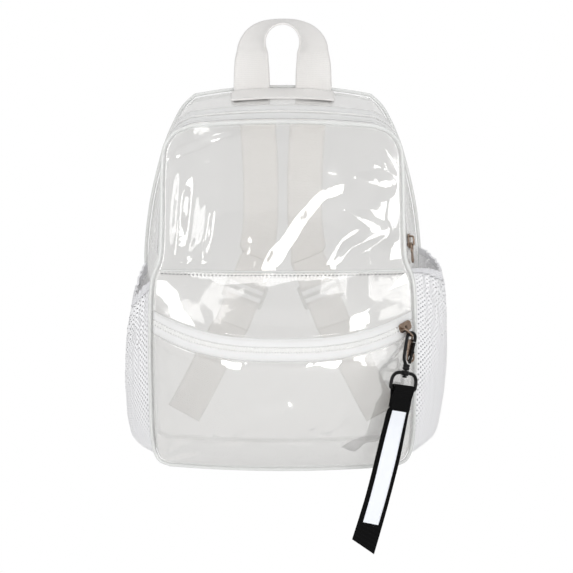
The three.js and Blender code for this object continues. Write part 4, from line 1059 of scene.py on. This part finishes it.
# Snap hook. Black-plated: a bent wire with a sprung gate on a turned neck, and a D-shaped ring that turns on
# the neck's stem.
black_metal = Finish("black_metal", (0.002, 0.002, 0.002), Roughness=0.3, Specular_IOR_Level=0.18)
black_rough = 0.24 + black_metal.noise(240) * 0.2
black_metal.dress(black_metal.noise(600, 3.0), 0.12, 0.0003, Roughness=black_rough)
hook_place = local(
    (0.10468, -0.09231, -0.24386),
    (0.78741, 0.56133, -0.25475),
    (0.16557, 0.20548, 0.96455),
    (0.59378, -0.80168, 0.06886),
)
BEND_R, BEND_Y, NECK_TOP, RING_Y, RING_BAR_Y = 4.2, -1.65, -23.25, -30.65, -43.65
hook_line = [(BEND_R, BEND_Y - 3)] + arc(0, BEND_Y, BEND_R, 0, math.pi, 24)
heel = [(1, 0), (1, 0.6), (0.88, 0.8), (0.5, 0.95), (0.1, 1.04)]
heel = [Vector((-BEND_R * x, BEND_Y + (NECK_TOP - BEND_Y) * down, 0)) for x, down in heel]
heel_curve = curve_through(heel)
hook_points = [Vector((x, y, 0)) for x, y in hook_line] + [heel_curve(i / 30) for i in range(1, 31)]
hook_wire = {"slot": "black_metal", "replaces": ["snap_hook"], "sides": 5}
wire("snap_hook", [hook_place @ p for p in hook_points], 0.00135, black_metal, **hook_wire)


def turned(name, profile, place, body, replaces=()):
    """A turned piece about its place's y axis, from its profile of radii and heights in millimetres."""
    mesh = bmesh.new()
    points = [mesh.verts.new((r, y, 0)) for r, y in profile]
    edges = [mesh.edges.new(pair) for pair in zip(points, points[1:])]
    spun = {"cent": (0, 0, 0), "axis": (0, 1, 0), "angle": 2 * math.pi, "steps": 28, "use_merge": True}
    bmesh.ops.spin(mesh, geom=points + edges, **spun)
    bmesh.ops.remove_doubles(mesh, verts=mesh.verts, dist=1e-4)
    bmesh.ops.recalc_face_normals(mesh, faces=mesh.faces)
    bmesh.ops.transform(mesh, matrix=place, verts=mesh.verts)
    return finished(name, mesh, black_metal, body=body, slot="black_metal", replaces=replaces)


def softened_profile(corners, cut=0.35):
    """The profile with its inner corners cut twice, which reads as a small radius."""
    out = [Vector(corners[0])]
    for before, here, after in zip(corners, corners[1:], corners[2:]):
        here, before, after = Vector(here), Vector(before), Vector(after)
        into, out_of = (before - here), (after - here)
        near = into.normalized() * min(cut, into.length / 2.1)
        far = out_of.normalized() * min(cut, out_of.length / 2.1)
        out += [here + near, here + (near + far) * 0.3, here + far]
    return out + [Vector(corners[-1])]


neck = [(0, -28.25), (2.4, -28.25), (3, -27.2), (3, -26.6), (2.6, -26.2)]
neck += [(2.6, -25.2), (3, -24.8), (3, -24.3), (2.4, -23.25), (0, -23.25)]
stem = [(0, -34.45), (1.76, -34.45), (2.2, -33.05), (1.1, -33.05), (1.1, -26), (0, -26)]
turned("snap_hook_neck", softened_profile(neck, 0.25), hook_place, "bag")
turned("snap_hook_stem", softened_profile(stem, 0.2), hook_place, "bag")
gate_outline = [(1.75, -22.1), (2.3, -22.65), (3.55, -22.65), (5.1, -5.3)]
gate_outline += [(4.9, -5.05), (3.5, -5.05), (3.3, -5.3)]
gate = {"slot": "black_metal", "replaces": ["hook_gate"]}
plate("hook_gate", gate_outline, [], 2.2, 0.4, hook_place, black_metal, body="gate", **gate)
mesh = bmesh.new()
bmesh.ops.create_uvsphere(mesh, u_segments=14, v_segments=8, radius=1.15)
bmesh.ops.transform(mesh, matrix=hook_place @ Matrix.Translation((3.9, -13, 0.9)), verts=mesh.verts)
finished("hook_gate_stud", mesh, black_metal, body="gate", slot="black_metal")
barrel = [(1.5, RING_Y - 2), (3, RING_Y - 2), (3, RING_Y + 2), (1.5, RING_Y + 2), (1.5, RING_Y - 2)]
turned("swivel_ring", barrel, hook_place, "strap_swivel", ["swivel_ring"])
RING_HALF = 13
corners = [(2.2, RING_Y), (RING_HALF, RING_Y), (RING_HALF, RING_BAR_Y)]
corners += [(-x, y) for x, y in reversed(corners)]
ring_line = [Vector((*corners[0], 0))]
for i, corner in enumerate(corners[1:-1]):
    here, before, after = Vector(corner), Vector(corners[i]), Vector(corners[i + 2])
    bend = 8.5 if corner[1] == RING_Y else 1.8
    start, end = here + (before - here).normalized() * bend, here + (after - here).normalized() * bend
    for j in range(9):
        w = j / 8
        at = start * (1 - w) ** 2 + here * 2 * w * (1 - w) + end * w * w
        ring_line.append(Vector((*at, 0)))
ring_line.append(Vector((*corners[-1], 0)))
ring = {"slot": "black_metal", "sides": 4}
ring_points = [hook_place @ p for p in ring_line]
wire("swivel_ring_wire", ring_points, 0.00145, black_metal, body="strap_swivel", **ring)

# Snap-hook strap. Black webbing that turns round the ring's bar and back behind itself, with a paler satin
# ribbon down the middle of its front. Its end is cut on the slant.
black_cloth = Finish("black_webbing", (0.008, 0.008, 0.009), Roughness=0.9, Specular_IOR_Level=0.12)
black_height = black_cloth.ribs("Y", 240) * black_cloth.ribs("X", 280)
black_shade = black_cloth.mixed(black_height, (0.0015, 0.0015, 0.0016), (0.005, 0.005, 0.0055))
black_cloth.dress(black_height, 0.7, 0.0006, Base_Color=black_shade)
satin = Finish("white_ribbon", (0.86, 0.88, 0.92), Roughness=0.5, Sheen_Weight=0.2)
satin_rib = satin.ribs("Y", 420)
satin_shade = satin.mixed(satin_rib * 0.4 + satin.noise(90) * 0.3, (0.9, 0.92, 0.96), (0.76, 0.79, 0.86))
satin.dress(satin_rib, 0.3, 0.0003, Base_Color=satin_shade)


def in_mm(point):
    return Vector((point.x * 1000, point.y * 1000 - HANDLE_Y, point.z * 1000 + CROWN_Z))


hook_axes = [(hook_place.to_3x3() @ Vector(axis)) * 1000 for axis in ((1, 0, 0), (0, 1, 0), (0, 0, 1))]
hook_aside, hook_up, hook_face = hook_axes
ring_bar = in_mm(hook_place @ Vector((0, RING_BAR_Y, 0)))
LANYARD_LONG, LANYARD_WIDE, SLANT, RIBBON_WIDE = 129, 20, 0.42, 13
# The strap's way down: shares of its length, and how far aside it has drifted by then.
FALL = [(0.14, 0.004), (0.25, 0.012), (0.4, 0.021), (0.55, 0.032), (0.7, 0.046), (0.85, 0.064), (1.0, 0.084)]
hanging, foremost = [], 1e9
for down, aside in FALL:
    at = ring_bar - hook_up * down * LANYARD_LONG - Vector((aside * LANYARD_LONG, 0, 0))
    height = min(POCKET_TOP_Z, max(0, at.z))
    u = at.x / front_side(share_up(side_heights, height)).x
    u = min(POCKET_EDGE, max(-POCKET_EDGE, u))
    foremost = min(foremost, at.y, pocket_at(u, height / POCKET_TOP_Z).y - 3)
    turn = min(1.0, down / 0.4)
    facing = hook_aside.lerp(Vector((0.95, 0.18, -0.25)), turn).normalized()
    hanging.append((Vector((at.x, foremost - 3.8 * turn, at.z)), facing))
hanging = [frame for frame, (down, aside) in zip(hanging, FALL) if down * LANYARD_LONG > 17.6][::-1]
strap_frames = hanging + turn_round(ring_bar, hook_up, hook_face, hook_aside, 1.3, 1.6, 16)
black = {"finish": black_cloth, "slot": "black_webbing", "body": "strap_swivel"}
strap_surface = ribbon(strap_frames, LANYARD_WIDE)


def strap_cut(a, b):
    """The strap with the slanted cut at its lower end."""
    off = (a - 0.5) * LANYARD_WIDE * SLANT * max(0, 1 - b / 0.1)
    return strap_surface(a, b) - hook_up * off


sheet_over("lanyard_webbing", strap_cut, 20, 240, thickness=WEBBING_THICK, **black)
spine = hanging[1:]
front = [Vector((0, 0, 0))] * len(spine)
for i, (at, across) in enumerate(spine):
    along = (spine[min(i + 1, len(spine) - 1)][0] - spine[max(i - 1, 0)][0]).normalized()
    face = across.cross(along).normalized()
    face = face if face.y < 0 else -face
    front[i] = (at + face * 1.55, across)
satin_piece = {"finish": satin, "slot": "white_ribbon", "body": "strap_swivel"}
sheet_over("lanyard_ribbon", ribbon(front, RIBBON_WIDE), 10, 160, thickness=0.7, **satin_piece)
